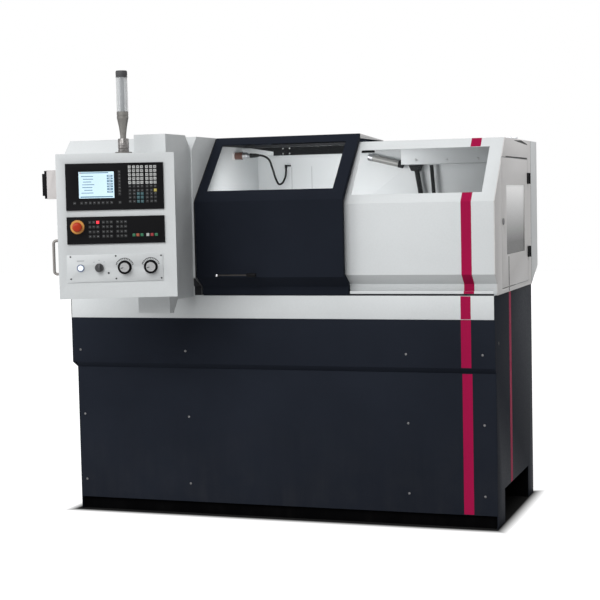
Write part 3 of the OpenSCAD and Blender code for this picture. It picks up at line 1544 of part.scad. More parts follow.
module signal_lamp_lens() color([0.85, 0.88, 0.9, 0.5]) {
  z0 = box_z1 + beacon_flange_t + beacon_collar_h + beacon_neck_h + beacon_flare_h + beacon_band_h;
  on_panel() difference() {
    rod_z(z0, z0 + beacon_lens_h, beacon_x, beacon_y, beacon_r);
    rod_z(z0 - over, z0 + beacon_lens_h + over, beacon_x, beacon_y, beacon_r - beacon_wall);
  }
}

module control_handle() color([0.8, 0.81, 0.82]) {
  on_panel() {
    rod_z(bar_z - bar_l / 2, bar_z + bar_l / 2, box_x0 - bar_out, bar_y, bar_r);
    for (z = [bar_z - bar_l / 2 + bar_r, bar_z + bar_l / 2 - bar_r])
      rod_x(box_x0 - bar_out, box_x0, bar_y, z, bar_r);
  }
}

module fan_frame() color([0.72, 0.73, 0.74]) {
  on_panel() {
    difference() {
      block(box_x0 - fan_t, box_x0, fan_y - fan_w / 2, fan_y + fan_w / 2, fan_z - fan_w / 2, fan_z + fan_w / 2);
      rod_x(box_x0 - fan_t - over, box_x0 + over, fan_y, fan_z, fan_r);
    }
    rod_x(box_x0 - fan_t, box_x0, fan_y, fan_z, fan_hub_r);
    for (a = [45, 135, 225, 315])
      translate([box_x0 - fan_strut, fan_y, fan_z]) rotate([a, 0, 0])
        block(0, fan_strut, 0, fan_r + fan_strut, -fan_strut / 2, fan_strut / 2);
  }
}

module fan_guard() color([0.05, 0.05, 0.05]) {
  x0 = box_x0 - fan_t;
  h = guard_w / 2;
  on_panel() difference() {
    union() {
      block(x0 - guard_step, x0, fan_y - h, fan_y + h, fan_z - h, fan_z + h);
      block(x0 - guard_step * 2, x0 - guard_step, fan_y - h + guard_in, fan_y + h - guard_in,
        fan_z - h + guard_in, fan_z + h - guard_in);
    }
    for (z = [fan_z - h + guard_in * 2:guard_bar * 2:fan_z + h - guard_in * 2 - guard_bar])
      block(x0 - guard_step * 2 - over, x0 - guard_step / 2, fan_y - h + guard_in * 2, fan_y + h - guard_in * 2,
        z, z + guard_bar);
  }
}

module tube_lamp() color([0.9, 0.92, 0.94]) {
  y = wall_y - tube_gap - tube_r;
  l = norm([tube_x1 - tube_x0, tube_z1 - tube_z0]);
  translate([tube_x0, y, tube_z0]) rotate([0, atan2(tube_z0 - tube_z1, tube_x1 - tube_x0), 0]) {
    rod_x(0, l, 0, 0, tube_r);
    for (x = [tube_r, l - tube_r])
      block(x - tube_gap / 2, x + tube_gap / 2, 0, tube_r + tube_gap, -tube_gap / 2, tube_gap / 2);
  }
}

module lead_fittings() color([0.35, 0.2, 0.16]) {
  rod_x(hood_x1, hood_x1 + plug_l * foot_share, plug_y, plug_z, plug_r);
  rod_x(hood_x1 + plug_l * foot_share, hood_x1 + plug_l, plug_y, plug_z, plug_r * foot_share);
  translate(lead_end) {
    cylinder(h = socket_h, r = socket_r);
    block(-socket_r, socket_r, 0, wall_y - lead_end[1], socket_h / 2, socket_h);
  }
}

module hanging_lead() color([0.04, 0.04, 0.04]) {
  p = [for (q = lead_route) lead_start + q];
  n = len(p);
  pts = [for (i = [0:n - 1]) each lead_ring(p[i], lead_way(i, p), lead_r)];
  cap0 = [[for (k = [0:lead_sides - 1]) k]];
  cap1 = [[for (k = [lead_sides - 1:-1:0]) (n - 1) * lead_sides + k]];
  walls = [for (i = [0:n - 2]) for (k = [0:lead_sides - 1])
    let(a = i * lead_sides, b = a + lead_sides, j = (k + 1) % lead_sides)
    each [[a + k, b + k, b + j], [a + k, b + j, a + j]]];
  polyhedron(pts, concat(cap0, cap1, walls));
}

module hose(x, lean, r) {
  z0 = hose_box_z0 + hose_box_h;
  intersection() {
    translate([x, hose_y, ledge_z + r]) rotate([0, 180 - lean, 0]) cylinder(h = (ledge_z - z0) * 2, r = r);
    block(hose_box_x0, hose_box_x0 + hose_box_w, hose_y - r - over, hose_y + r + over, z0, ledge_z);
  }
}
module conduits() color([0.05, 0.05, 0.05]) {
  hose(hose_a_x, hose_a_lean, hose_a_r);
  hose(hose_b_x, hose_b_lean, hose_b_r);
  block(hose_a_x - clamp_w / 2, hose_a_x + clamp_w / 2, hose_y, wall_y,
    ledge_z - clamp_drop - clamp_h, ledge_z - clamp_drop);
  block(hose_box_x0, hose_box_x0 + hose_box_w, wall_y - hose_box_d, wall_y, hose_box_z0, hose_box_z0 + hose_box_h);
}

base_frame();
base_cabinet();
lower_front_panel();
upper_front_panel();
front_sill_panel();
on_base() chip_tray();
on_base() bed();
on_base() headstock();
on_base() headstock_cover();
on_base() right_cover();
on_base() right_window();
on_base() right_end_panel();
on_base() end_hinge_leaves();
on_base() rear_cabinet();
on_base() back_wall();
on_base() door_rails();
on_base() console();
on_base() spindle_motor();
on_base() drive_belt();
on_base() tube_lamp();
on_base() lead_fittings();
on_base() hanging_lead();
on_base() conduits();
on_base() sliding_door();
on_base() door_window();
on_base() door_handle();
on_base() end_door();
on_base() end_door_window();
on_base() end_hinge_knuckles();
on_base() end_door_lock();
on_base() control_box();
on_base() control_box_back();
on_base() display_panel();
on_base() display_screen();
on_base() panel_keys();
on_base() operator_panel();
on_base() switch_plate();
on_base() signal_lamp_base();
on_base() signal_lamp_lens();
on_base() control_handle();
on_base() fan_frame();
on_base() fan_guard();
on_base() estop_button();
on_base() power_button();
on_base() mode_switch();
on_base() spindle_dial();
on_base() feed_dial();
on_base() spindle();
on_base() chuck();
on_base() jaw_1();
on_base() jaw_2();
on_base() jaw_3();
on_base() motor_pulley();
on_base() carriage();
on_base() cross_slide();
on_base() turret_disc();
on_base() tailstock();
on_base() quill();
on_base() tailstock_wheel();
on_base() z_ball_screw();
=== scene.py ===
# %% [markdown]
# # A flat-bed turning lathe, dressed for its picture
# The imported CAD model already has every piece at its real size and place. This script keeps that
# frame and adds what makes the machine look made: softened sheet edges, paint, foil stripes, screws,
# keys, knobs and the shop light. Everything is in metres, X along the spindle, Y to the back, Z up.

# %% Load the frame
import json
import math

import bpy
from mathutils import Matrix, Vector

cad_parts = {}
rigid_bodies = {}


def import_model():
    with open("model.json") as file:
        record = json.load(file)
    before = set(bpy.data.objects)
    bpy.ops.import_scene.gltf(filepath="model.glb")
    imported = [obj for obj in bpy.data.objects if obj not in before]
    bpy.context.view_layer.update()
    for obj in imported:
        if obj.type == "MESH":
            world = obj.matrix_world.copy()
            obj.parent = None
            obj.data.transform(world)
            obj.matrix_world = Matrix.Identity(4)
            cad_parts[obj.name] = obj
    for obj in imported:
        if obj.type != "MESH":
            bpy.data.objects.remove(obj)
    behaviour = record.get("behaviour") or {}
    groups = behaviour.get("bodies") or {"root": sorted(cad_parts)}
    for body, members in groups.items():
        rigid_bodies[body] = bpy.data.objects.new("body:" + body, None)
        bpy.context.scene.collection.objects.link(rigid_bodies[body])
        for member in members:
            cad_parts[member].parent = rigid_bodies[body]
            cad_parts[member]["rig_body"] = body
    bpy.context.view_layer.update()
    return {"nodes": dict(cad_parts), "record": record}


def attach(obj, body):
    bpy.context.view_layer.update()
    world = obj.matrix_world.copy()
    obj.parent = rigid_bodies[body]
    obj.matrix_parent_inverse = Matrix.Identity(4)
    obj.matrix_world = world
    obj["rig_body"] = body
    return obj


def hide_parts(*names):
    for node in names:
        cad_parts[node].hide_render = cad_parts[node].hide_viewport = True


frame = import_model()

# %% [markdown]
# ## Camera
# The picture was taken from the right of the machine's middle, a little below the control box's
# screen, with a long lens and a slight tilt. Three angles and a place say that fully, so the camera
# matrix is built from them: its columns are the picture's right, its up and the way back.

# %% Camera
scene = bpy.context.scene
AZIMUTH, PITCH, ROLL = math.radians(19.03), math.radians(3.96), math.radians(-1.23)
CAMERA_PLACE = (2.2845, -6.6807, 1.4483)
LENS_MM, SENSOR_MM = 89.57, 36
back = Vector((math.sin(AZIMUTH) * math.cos(PITCH), -math.cos(AZIMUTH) * math.cos(PITCH), math.sin(PITCH)))
level = (-back).cross(Vector((0, 0, 1))).normalized()
plumb = level.cross(-back)
right = math.cos(ROLL) * level + math.sin(ROLL) * plumb
up = -math.sin(ROLL) * level + math.cos(ROLL) * plumb
bpy.ops.object.camera_add()
camera = bpy.context.object
camera.matrix_world = Matrix.Translation(CAMERA_PLACE) @ Matrix((right, up, back)).transposed().to_4x4()
camera.data.lens, camera.data.sensor_width = LENS_MM, SENSOR_MM
scene.camera = camera
print("camera at", [round(x, 2) for x in camera.location])

# %% [markdown]
# ## Working helpers
# Operators act on whatever is selected, so every step first clears the selection. A finished piece
# sits at the origin with its place in its mesh, rides on a body and names the look it wears.

# %% Helpers for selecting and settling
def deselect():
    if bpy.context.object and bpy.context.object.mode != "OBJECT":
        bpy.ops.object.mode_set(mode="OBJECT")
    bpy.ops.object.select_all(action="DESELECT")


def only(obj):
    deselect()
    obj.select_set(True)
    bpy.context.view_layer.objects.active = obj
    return obj


def edit_all(obj):
    """Edit mode, with the whole of a shape selected."""
    only(obj)
    bpy.ops.object.mode_set(mode="EDIT")
    bpy.ops.mesh.select_all(action="SELECT")


def edit_done():
    bpy.ops.object.mode_set(mode="OBJECT")


def settle(obj):
    only(obj)
    bpy.ops.object.transform_apply(location=True, rotation=True, scale=True)
    return obj


def apply_modifiers(obj):
    only(obj)
    for name in [m.name for m in obj.modifiers]:
        bpy.ops.object.modifier_apply(modifier=name)
    return obj


# %% Helpers for making shapes
WELD = 1e-6


def round_edges(obj, width, segments=2, angle=30):
    bevel = obj.modifiers.new("round", "BEVEL")
    bevel.width, bevel.segments = width, segments
    bevel.limit_method, bevel.angle_limit = "ANGLE", math.radians(angle)
    return apply_modifiers(obj)


def outward(obj):
    edit_all(obj)
    bpy.ops.mesh.remove_doubles(threshold=WELD)
    bpy.ops.mesh.normals_make_consistent(inside=False)
    edit_done()
    return obj


def thickened(obj, thickness, offset):
    skin = obj.modifiers.new("skin", "SOLIDIFY")
    skin.thickness, skin.offset = thickness, offset
    return apply_modifiers(obj)


def block(name, low, high):
    deselect()
    low, high = Vector(low), Vector(high)
    bpy.ops.mesh.primitive_cube_add(size=1, location=(low + high) / 2)
    obj = bpy.context.object
    obj.name, obj.scale = name, high - low
    return settle(obj)


def drawn(name, points, face=False):
    """A line through points, or one flat face round them."""
    edges = [] if face else [(i, i + 1) for i in range(len(points) - 1)]
    mesh = bpy.data.meshes.new(name)
    mesh.from_pydata(points, edges, [list(range(len(points)))] if face else [])
    obj = bpy.data.objects.new(name, mesh)
    scene.collection.objects.link(obj)
    return only(obj)


def turned(name, profile, steps=32):
    """A lathe-turned shape round its own Z axis, from a list of (radius, height)."""
    obj = drawn(name, [(r, 0, z) for r, z in profile])
    edit_all(obj)
    bpy.ops.mesh.spin(steps=steps, angle=2 * math.pi, center=(0, 0, 0), axis=(0, 0, 1))
    edit_done()
    return outward(obj)


# %% Helpers for placing, joining and finishing
TO_FRONT, TO_RIGHT = (0, -1, 0), (1, 0, 0)
LOOKS = {}


def placed(obj, matrix):
    obj.matrix_world = matrix @ obj.matrix_world
    return settle(obj)


def facing(point, direction):
    """The matrix that puts a shape's own Z axis along a direction, at a point."""
    return Matrix.Translation(point) @ Vector(direction).to_track_quat("Z", "Y").to_matrix().to_4x4()


def joined(name, parts):
    """Several shapes as one mesh, which is the first one under the given name."""
    deselect()
    for part in parts:
        part.select_set(True)
    bpy.context.view_layer.objects.active = parts[0]
    if len(parts) > 1:
        bpy.ops.object.join()
    parts[0].name = name
    return parts[0]


def twin(obj):
    only(obj)
    bpy.ops.object.duplicate()
    return bpy.context.object


def copies(obj, name, matrices):
    """One mesh of many copies of a shape, each with its own place; the pattern piece goes away."""
    made = [placed(twin(obj), matrix) for matrix in matrices]
    bpy.data.objects.remove(obj)
    return joined(name, made)


def finish(obj, body, look, replaces=(), angle=35):
    only(obj)
    bpy.ops.object.shade_smooth_by_angle(angle=math.radians(angle))
    obj.data.materials.clear()
    obj.data.materials.append(LOOKS[look])
    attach(obj, body)
    if replaces:
        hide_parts(*replaces)
    return obj


def spun(name, profile, place, body, look, replaces=(), steps=32, angle=35):
    """A turned piece, set in its place and finished."""
    return finish(placed(turned(name, profile, steps), place), body, look, replaces, angle)


# %% [markdown]
# ## Shared finishes as node groups
# Five effects come back over the machine: sprayed paint with its orange peel, dust that gathers low
# down, a pane that darkens downwards as a painted reflection, drawn metal with fine streaks, and rough
# castings. Each is one shader group on Object coordinates, so a pattern keeps its real size whatever
# piece wears it.

# %% Node helpers
WHITE = (1, 1, 1, 1)


def put(tree, kind, settings=None, **values):
    """A new node. A value named i0, i1 and so on goes to the input of that number."""
    made = tree.nodes.new(kind)
    for key, value in (settings or {}).items():
        setattr(made, key, value)
    for key, value in values.items():
        numbered = key[0] == "i" and key[1:].isdigit()
        socket = made.inputs[int(key[1:]) if numbered else key]
        if isinstance(value, bpy.types.NodeSocket):
            tree.links.new(value, socket)
        else:
            socket.default_value = value
    return made


def math_node(tree, operation, a, b=0.0):
    return put(tree, "ShaderNodeMath", {"operation": operation}, i0=a, i1=b).outputs[0]


def shifted(tree, operation, value, mask, share):
    """A value raised or lowered by a share of a mask."""
    return math_node(tree, operation, value, math_node(tree, "MULTIPLY", mask, share))


def mix_colour(tree, factor, a, b, blend="MIX"):
    made = put(tree, "ShaderNodeMix", {"data_type": "RGBA", "blend_type": blend}, i0=factor, i6=a, i7=b)
    return made.outputs[2]


def toned(tree, colour, share):
    """A colour taken down to a share of its brightness."""
    tone = put(tree, "ShaderNodeCombineColor", i0=share, i1=share, i2=share).outputs[0]
    return mix_colour(tree, 1.0, colour, tone, "MULTIPLY")


def spread(tree, value, low, high, start=0.3, end=0.7):
    """A value that runs from start to end, spread to run from low to high."""
    return put(tree, "ShaderNodeMapRange", i0=value, i1=start, i2=end, i3=low, i4=high).outputs[0]


def place_of(tree):
    return put(tree, "ShaderNodeTexCoord").outputs["Object"]


def height_of(tree):
    return put(tree, "ShaderNodeSeparateXYZ", i0=place_of(tree)).outputs[2]


def noise(tree, scale, detail=2.0, stretch=None):
    place = place_of(tree)
    if stretch:
        place = put(tree, "ShaderNodeMapping", i0=place, i3=stretch).outputs[0]
    return put(tree, "ShaderNodeTexNoise", Vector=place, Scale=scale, Detail=detail).outputs[0]


def new_group(name, outputs, **inputs):
    """A shader group that takes a colour and some values: its tree, its inputs and its output node."""
    tree = bpy.data.node_groups.new(name, "ShaderNodeTree")
    for label, value in {"Color": WHITE, **inputs}.items():
        kind = "NodeSocketFloat" if isinstance(value, float) else "NodeSocketColor"
        tree.interface.new_socket(name=label, in_out="INPUT", socket_type=kind).default_value = value
    for label in outputs:
        kind = "NodeSocketColor" if label == "Color" else "NodeSocketFloat"
        tree.interface.new_socket(name=label, in_out="OUTPUT", socket_type=kind)
    return tree, put(tree, "NodeGroupInput").outputs, put(tree, "NodeGroupOutput")


def give(tree, result, **outputs):
    for label, value in outputs.items():
        tree.links.new(value, result.inputs[label])


# %% Sprayed paint: slow drift of tone, faint speckle, orange peel
SURFACE = ["Color", "Roughness", "Height"]
paint, given, result = new_group("sprayed_paint", SURFACE, Drift=0.08, Gloss=0.42)
drift = spread(paint, noise(paint, 2.2, 3.0), 0.0, 1.0)
fleck = spread(paint, noise(paint, 160.0, 2.0), 0.0, 1.0)
darker = shifted(paint, "SUBTRACT", 1.0, drift, given["Drift"])
darker = shifted(paint, "SUBTRACT", darker, fleck, 0.03)
give(paint, result, Color=toned(paint, given["Color"], darker), Height=noise(paint, 420.0, 1.0),
     Roughness=shifted(paint, "ADD", given["Gloss"], fleck, 0.1))

# %% Dust and scuffs that gather towards the floor
DUST_GREY = (0.2, 0.19, 0.18, 1)
dusty, given, result = new_group("floor_dust", ["Color", "Dust"], Reach=0.4, Amount=0.3)
risen = math_node(dusty, "DIVIDE", height_of(dusty), given["Reach"])
low = spread(dusty, risen, 1.0, 0.0, 0.0, 1.0)
cloud = spread(dusty, noise(dusty, 9.0, 5.0), 0.0, 1.0)
streak = spread(dusty, noise(dusty, 30.0, 3.0, (1, 1, 0.08)), 0.2, 1.0)
lying = math_node(dusty, "MULTIPLY", low, cloud)
dust = math_node(dusty, "MULTIPLY", lying, math_node(dusty, "MULTIPLY", streak, given["Amount"]))
give(dusty, result, Color=mix_colour(dusty, dust, given["Color"], DUST_GREY), Dust=dust)

# %% A pane that turns darker towards its foot: a painted reflection
reflection_group, given, result = new_group("painted_reflection_fade", ["Color"], Other=WHITE, Low=0.0, High=1.0)
share = spread(reflection_group, height_of(reflection_group), 0.0, 1.0, given["Low"], given["High"])
give(reflection_group, result, Color=mix_colour(reflection_group, share, given["Other"], given["Color"]))

# %% Drawn and turned metal: fine streaks along X
metal, given, result = new_group("drawn_metal", SURFACE, Gloss=0.25, Streak=0.2)
line = spread(metal, noise(metal, 60.0, 3.0, (0.05, 4, 4)), 0.0, 1.0)
stain = spread(metal, noise(metal, 14.0, 3.0), 0.0, 1.0)
loss = shifted(metal, "SUBTRACT", 1.0, line, given["Streak"])
loss = shifted(metal, "SUBTRACT", loss, stain, 0.08)
give(metal, result, Color=toned(metal, given["Color"], loss), Height=line,
     Roughness=shifted(metal, "ADD", given["Gloss"], stain, 0.15))

# %% Castings and moulded rubber: a coarse grain
grain, given, result = new_group("cast_grain", SURFACE, Grain=250.0, Gloss=0.6)
grit = noise(grain, given["Grain"], 4.0)
patch = spread(grain, noise(grain, 7.0, 3.0), 0.82, 1.05)
give(grain, result, Color=toned(grain, given["Color"], patch), Height=grit,
     Roughness=shifted(grain, "ADD", given["Gloss"], grit, 0.15))
print("shared finishes:", [g.name for g in bpy.data.node_groups])

# %% [markdown]
# ## Materials
# Each material places a group with its own values and keeps the shader itself. Numbers that are the
# same all over, such as the specular level or the metal share, sit on the shader's own sockets. The
# first list has one look for each finish in the record, and the second has those of small details.

# %% Material maker
GROUPS = {"paint": paint, "metal": metal, "grain": grain}
FINE = {"paint": ("Drift", 0.07), "metal": ("Streak", 0.2), "grain": ("Grain", 250.0)}
BUMP_DEPTH = 0.0005


def material(name, kind, colour, gloss, bump=0.05, fine=None, dust=None, painted_fade=None,
             alpha=1.0, glow=0.0, specular=0.5):
    """A look under its name. Dust is (reach, amount), and fade is (low, high, colour at the low end)."""
    LOOKS[name] = bpy.data.materials.new(name)
    LOOKS[name].use_nodes = True
    tree = LOOKS[name].node_tree
    shader = tree.nodes["Principled BSDF"]
    surface = put(tree, "ShaderNodeGroup", {"node_tree": GROUPS[kind]}, Color=(*colour, 1), Gloss=gloss)
    surface.inputs[FINE[kind][0]].default_value = FINE[kind][1] if fine is None else fine
    shown = surface.outputs["Color"]
    if dust:
        shown = put(tree, "ShaderNodeGroup", {"node_tree": dusty}, Color=shown,
                    Reach=dust[0], Amount=dust[1]).outputs[0]
    if painted_fade:
        shown = put(tree, "ShaderNodeGroup", {"node_tree": reflection_group}, Color=shown,
                    Low=painted_fade[0], High=painted_fade[1], Other=(*painted_fade[2], 1)).outputs[0]
    tree.links.new(shown, shader.inputs["Base Color"])
    tree.links.new(surface.outputs["Roughness"], shader.inputs["Roughness"])
    if bump:
        height = surface.outputs["Height"]
        rough = put(tree, "ShaderNodeBump", Height=height, Strength=bump, Distance=BUMP_DEPTH)
        tree.links.new(rough.outputs[0], shader.inputs["Normal"])
    if glow:
        tree.links.new(shown, shader.inputs["Emission Color"])
        shader.inputs["Emission Strength"].default_value = glow
    shader.inputs["Alpha"].default_value = alpha
    shader.inputs["Metallic"].default_value = 1.0 if kind == "metal" else 0.0
    shader.inputs["Specular IOR Level"].default_value = specular


# %% Looks for the finishes in the record
material("paint_dark", "paint", (0.0168, 0.0202, 0.029), 0.45, fine=0.18, dust=(0.5, 0.05), specular=0.008)
material("paint_white", "paint", (0.675, 0.7, 0.71), 0.38, specular=0.3)
# paint_end is the white paint made darker and warmer: painted shade and warm light on the right end.
material("paint_end", "paint", (0.655, 0.64, 0.635), 0.4, specular=0.3)
# paint_black is the plinth's black, made darker than paint can be: partly painted shade under the base.
material("paint_black", "paint", (0.002, 0.002, 0.0024), 0.6, dust=(0.16, 0.015), specular=0.004)
material("tray", "paint", (0.52, 0.54, 0.55), 0.45, fine=0.15)
material("cast", "grain", (0.1, 0.105, 0.11), 0.55, 0.25)
material("slide_paint", "grain", (0.42, 0.44, 0.45), 0.45, 0.1)
material("steel", "metal", (0.55, 0.56, 0.58), 0.28)
material("chrome", "metal", (0.78, 0.78, 0.79), 0.12, 0.02, fine=0.06)
material("window", "paint", (0.35, 0.38, 0.4), 0.04, 0.0, fine=0.02, alpha=0.02, specular=0.2)
# The end window wears a painted reflection: it glows white at the top and fades to near black below.
material("end_window", "paint", (1.0, 1.0, 1.0), 0.3, 0.0, fine=0.03,
         painted_fade=(1.225, 1.54, (0.06, 0.06, 0.06)), glow=0.26, specular=0.1)
material("black_plastic", "grain", (0.0075, 0.0075, 0.0085), 0.4, 0.1, 900.0, specular=0.06)
material("screen", "paint", (0.55, 0.73, 0.83), 0.2, 0.0, fine=0.15, glow=0.55)
material("keys", "paint", (0.47, 0.48, 0.475), 0.5, 0.0, fine=0.1)
material("stop_red", "paint", (0.46, 0.03, 0.004), 0.3, 0.02, specular=0.25)
material("push_white", "paint", (0.85, 0.92, 0.98), 0.3, 0.0, fine=0.03, glow=0.5)
material("dial_grey", "metal", (0.4, 0.405, 0.41), 0.3, fine=0.25)
material("lamp_clear", "paint", (0.7, 0.73, 0.75), 0.08, 0.0, fine=0.1, alpha=0.35)
material("fan_metal", "paint", (0.6, 0.575, 0.57), 0.4, 0.02, fine=0.1, specular=0.3)
material("rubber", "grain", (0.007, 0.007, 0.0072), 0.6, 0.15, 700.0, specular=0.1)
material("lamp_tube", "paint", (0.3, 0.3, 0.29), 0.15, 0.0, fine=0.08)
material("plug", "grain", (0.11, 0.045, 0.03), 0.45, 0.1, 500.0)
material("motor", "grain", (0.035, 0.04, 0.05), 0.5, 0.15)
for entry in frame["record"]["subparts"]:
    slots = frame["nodes"][entry["node"]].data.materials
    slots.clear()
    slots.append(LOOKS[entry["material_slot"]])
print(len(LOOKS), "finishes on", len(frame["nodes"]), "CAD nodes")

# %% Looks for small details
material("stripe", "paint", (0.37, 0.008, 0.063), 0.5, 0.0, fine=0.15, specular=0.03)
material("signal_yellow", "paint", (0.73, 0.34, 0.07), 0.4, 0.0)
for name, colour in (("yellow_key", (0.5, 0.42, 0.1)), ("teal_key", (0.022, 0.085, 0.098)),
                     ("green_key", (0.02, 0.15, 0.07)), ("amber_key", (0.36, 0.09, 0.04)),
                     ("red_key", (0.32, 0.025, 0.03))):
    material(name, "paint", colour, 0.5, 0.0, fine=0.1)
material("dark_key", "grain", (0.028, 0.029, 0.03), 0.5, 0.05, 900.0, specular=0.2)
material("lit_red", "paint", (0.9, 0.03, 0.05), 0.4, 0.0, fine=0.05, glow=0.8)
material("pale_ink", "paint", (0.24, 0.25, 0.26), 0.5, 0.0, fine=0.2)
material("dark_ink", "paint", (0.02, 0.021, 0.024), 0.5, 0.0, fine=0.2, specular=0.1)
material("screen_blue", "paint", (0.09, 0.2, 0.3), 0.2, 0.0, fine=0.2, glow=0.35)
material("screen_white", "paint", (0.8, 0.9, 0.95), 0.2, 0.0, fine=0.05, glow=0.4)
material("neck_metal", "metal", (0.2, 0.195, 0.185), 0.4, fine=0.15)
material("zinc", "metal", (0.66, 0.67, 0.68), 0.3, 0.03, fine=0.1)
material("ring_blue", "metal", (0.17, 0.2, 0.3), 0.3, 0.02, fine=0.1)
material("screw_dull", "metal", (0.2, 0.2, 0.205), 0.45, 0.03, fine=0.2)
material("handle_dark", "metal", (0.26, 0.245, 0.235), 0.35, 0.03, fine=0.2)
material("bar_dark", "metal", (0.055, 0.052, 0.05), 0.4, 0.03, fine=0.2)
material("collar_metal", "metal", (0.26, 0.25, 0.245), 0.24, 0.05, fine=0.6)
material("selector_grey", "grain", (0.075, 0.076, 0.08), 0.45, 0.05, 900.0, specular=0.25)
material("grey_ink", "paint", (0.42, 0.44, 0.46), 0.5, 0.0, fine=0.3)
material("seam", "paint", (0.05, 0.051, 0.052), 0.6, 0.0, fine=0.3, specular=0.1)
print(len(LOOKS), "looks in all")

# %% [markdown]
# ## Floor and light
# A white sweep without an edge: the world shows white to the camera and in reflections, and the floor
# adds a glow that stops short of the machine, so that the contact shadow stays. Under the machine and
# close round it the floor's own colour is turned dark as well: a painted contact shadow. The light on
# the machine itself is plain: an even sky, one broad soft source from the front, a fill on the left,
# one over the right end, and light let in behind each window.

# %% Floor
FLOOR_SIZE, FLOOR_DROP = 40, 0.0005
FOOTPRINT = (1.0, 0.43)
GLOW_FROM, GLOW_FULL, GLOW = 0.005, 0.06, 0.8
PAINTED_SHADOW_FLOOR, PALE_FLOOR = (0.02, 0.02, 0.02, 1), (0.5, 0.5, 0.5, 1)


def seen_rays(tree):
    """One for rays from the camera, a reflection or a pane, and nought for the rest."""
    ray = put(tree, "ShaderNodeLightPath").outputs
    bent = math_node(tree, "MAXIMUM", ray["Is Glossy Ray"], ray["Is Transmission Ray"])
    return math_node(tree, "MAXIMUM", ray["Is Camera Ray"], bent)


bpy.ops.mesh.primitive_plane_add(size=FLOOR_SIZE, location=(0, 0, -FLOOR_DROP))
floor = bpy.context.object
floor.name = "floor"
floor_paint = bpy.data.materials.new("floor")
floor_paint.use_nodes = True
tree = floor_paint.node_tree
tree.nodes.clear()
spot = put(tree, "ShaderNodeSeparateXYZ", i0=place_of(tree)).outputs
spans = [math_node(tree, "ABSOLUTE", spot[axis]) for axis in (0, 1)]
beyond = [math_node(tree, "SUBTRACT", span, half) for span, half in zip(spans, FOOTPRINT)]
apart = math_node(tree, "MAXIMUM", *beyond)
clear = spread(tree, apart, 0.0, 1.0, GLOW_FROM, GLOW_FULL)
lift = math_node(tree, "MULTIPLY", seen_rays(tree), math_node(tree, "MULTIPLY", clear, GLOW))
# The floor's own colour turns dark under the machine and near it: a painted contact shadow.
matt = put(tree, "ShaderNodeBsdfDiffuse", Color=mix_colour(tree, clear, PAINTED_SHADOW_FLOOR, PALE_FLOOR)).outputs[0]
shine = put(tree, "ShaderNodeEmission", Strength=lift).outputs[0]
put(tree, "ShaderNodeOutputMaterial", Surface=put(tree, "ShaderNodeAddShader", i0=matt, i1=shine).outputs[0])
floor.data.materials.append(floor_paint)
print("floor of", FLOOR_SIZE, "m")

# %% Sky and lamps
SKY_LEFT, SKY_RIGHT = 0.94, 0.09
SUN_TILT, SUN_SPREAD, SUN_POWER = math.radians(54), math.radians(40), 1.78
world = bpy.data.worlds.new("studio")
scene.world = world
world.use_nodes = True
tree = world.node_tree
sky = tree.nodes["Background"]
sky.inputs["Color"].default_value = WHITE
direction = put(tree, "ShaderNodeTexCoord").outputs["Generated"]
across = put(tree, "ShaderNodeSeparateXYZ", i0=direction).outputs[0]
room = spread(tree, across, SKY_LEFT, SKY_RIGHT, -1.0, 1.0)
seen = seen_rays(tree)
lit = math_node(tree, "MULTIPLY", room, math_node(tree, "SUBTRACT", 1.0, seen))
tree.links.new(math_node(tree, "MAXIMUM", seen, lit), sky.inputs["Strength"])
bpy.ops.object.light_add(type="SUN", rotation=(SUN_TILT, 0, 0))
key = bpy.context.object
key.data.energy, key.data.angle = SUN_POWER, SUN_SPREAD
LAMPS = [  # place, aim, size, power
    ((0.05, -0.32, 1.554), (0.05, 0.8, -0.6), (0.42, 0.26), 4.2),
    ((0.36, -0.06, 1.34), (0.1, 1, 0), (0.2, 0.15), 0.5),
    ((-2.2, -3.0, 2.2), (0.5, 0.84, -0.2), (1.5, 1.5), 13.0),
    ((1.5, 0.15, 2.15), (-0.75, 0, -0.66), (0.6, 0.6), 2.3)]
for place, aim, size, power in LAMPS:
    turn = Vector(aim).to_track_quat("-Z", "Y").to_euler()
    bpy.ops.object.light_add(type="AREA", location=place, rotation=turn)
    lamp = bpy.context.object
    lamp.data.shape, lamp.data.size, lamp.data.size_y, lamp.data.energy = "RECTANGLE", *size, power
    lamp.visible_camera = False
scene.view_settings.view_transform = "Standard"
print("sky,", key.name, "and", len(LAMPS), "lamps are set")

# %% [markdown]
# ## The hanging lead
# Behind the door window a black lead leaves a plug on the headstock cover's wall, sags and goes into a
# gland on the back wall. It is 0.41 m of 10 mm cable, so it follows the CAD route point by point: a
# curve through those points gets its thickness and is turned into a mesh tube.

# %% Round bars and cables along a path
CURVE_STEPS = 6


def bar(name, points, radius, sides=5, smooth=False):
    """A round bar through points, straight from one to the next or as one smooth curve."""
    deselect()
    bpy.ops.curve.primitive_bezier_curve_add()
    obj = bpy.context.object
    obj.name = name
    obj.data.splines.clear()
    line = obj.data.splines.new("BEZIER" if smooth else "POLY")
    knots = line.bezier_points if smooth else line.points
    knots.add(len(points) - 1)
    for knot, point in zip(knots, points):
        if smooth:
            knot.co, knot.handle_left_type, knot.handle_right_type = point, "AUTO", "AUTO"
        else:
            knot.co = (*point, 1)
    obj.data.resolution_u, obj.data.bevel_depth, obj.data.bevel_resolution = CURVE_STEPS, radius, sides
    obj.data.use_fill_caps = True
    bpy.ops.object.convert(target="MESH")
    return outward(settle(bpy.context.object))


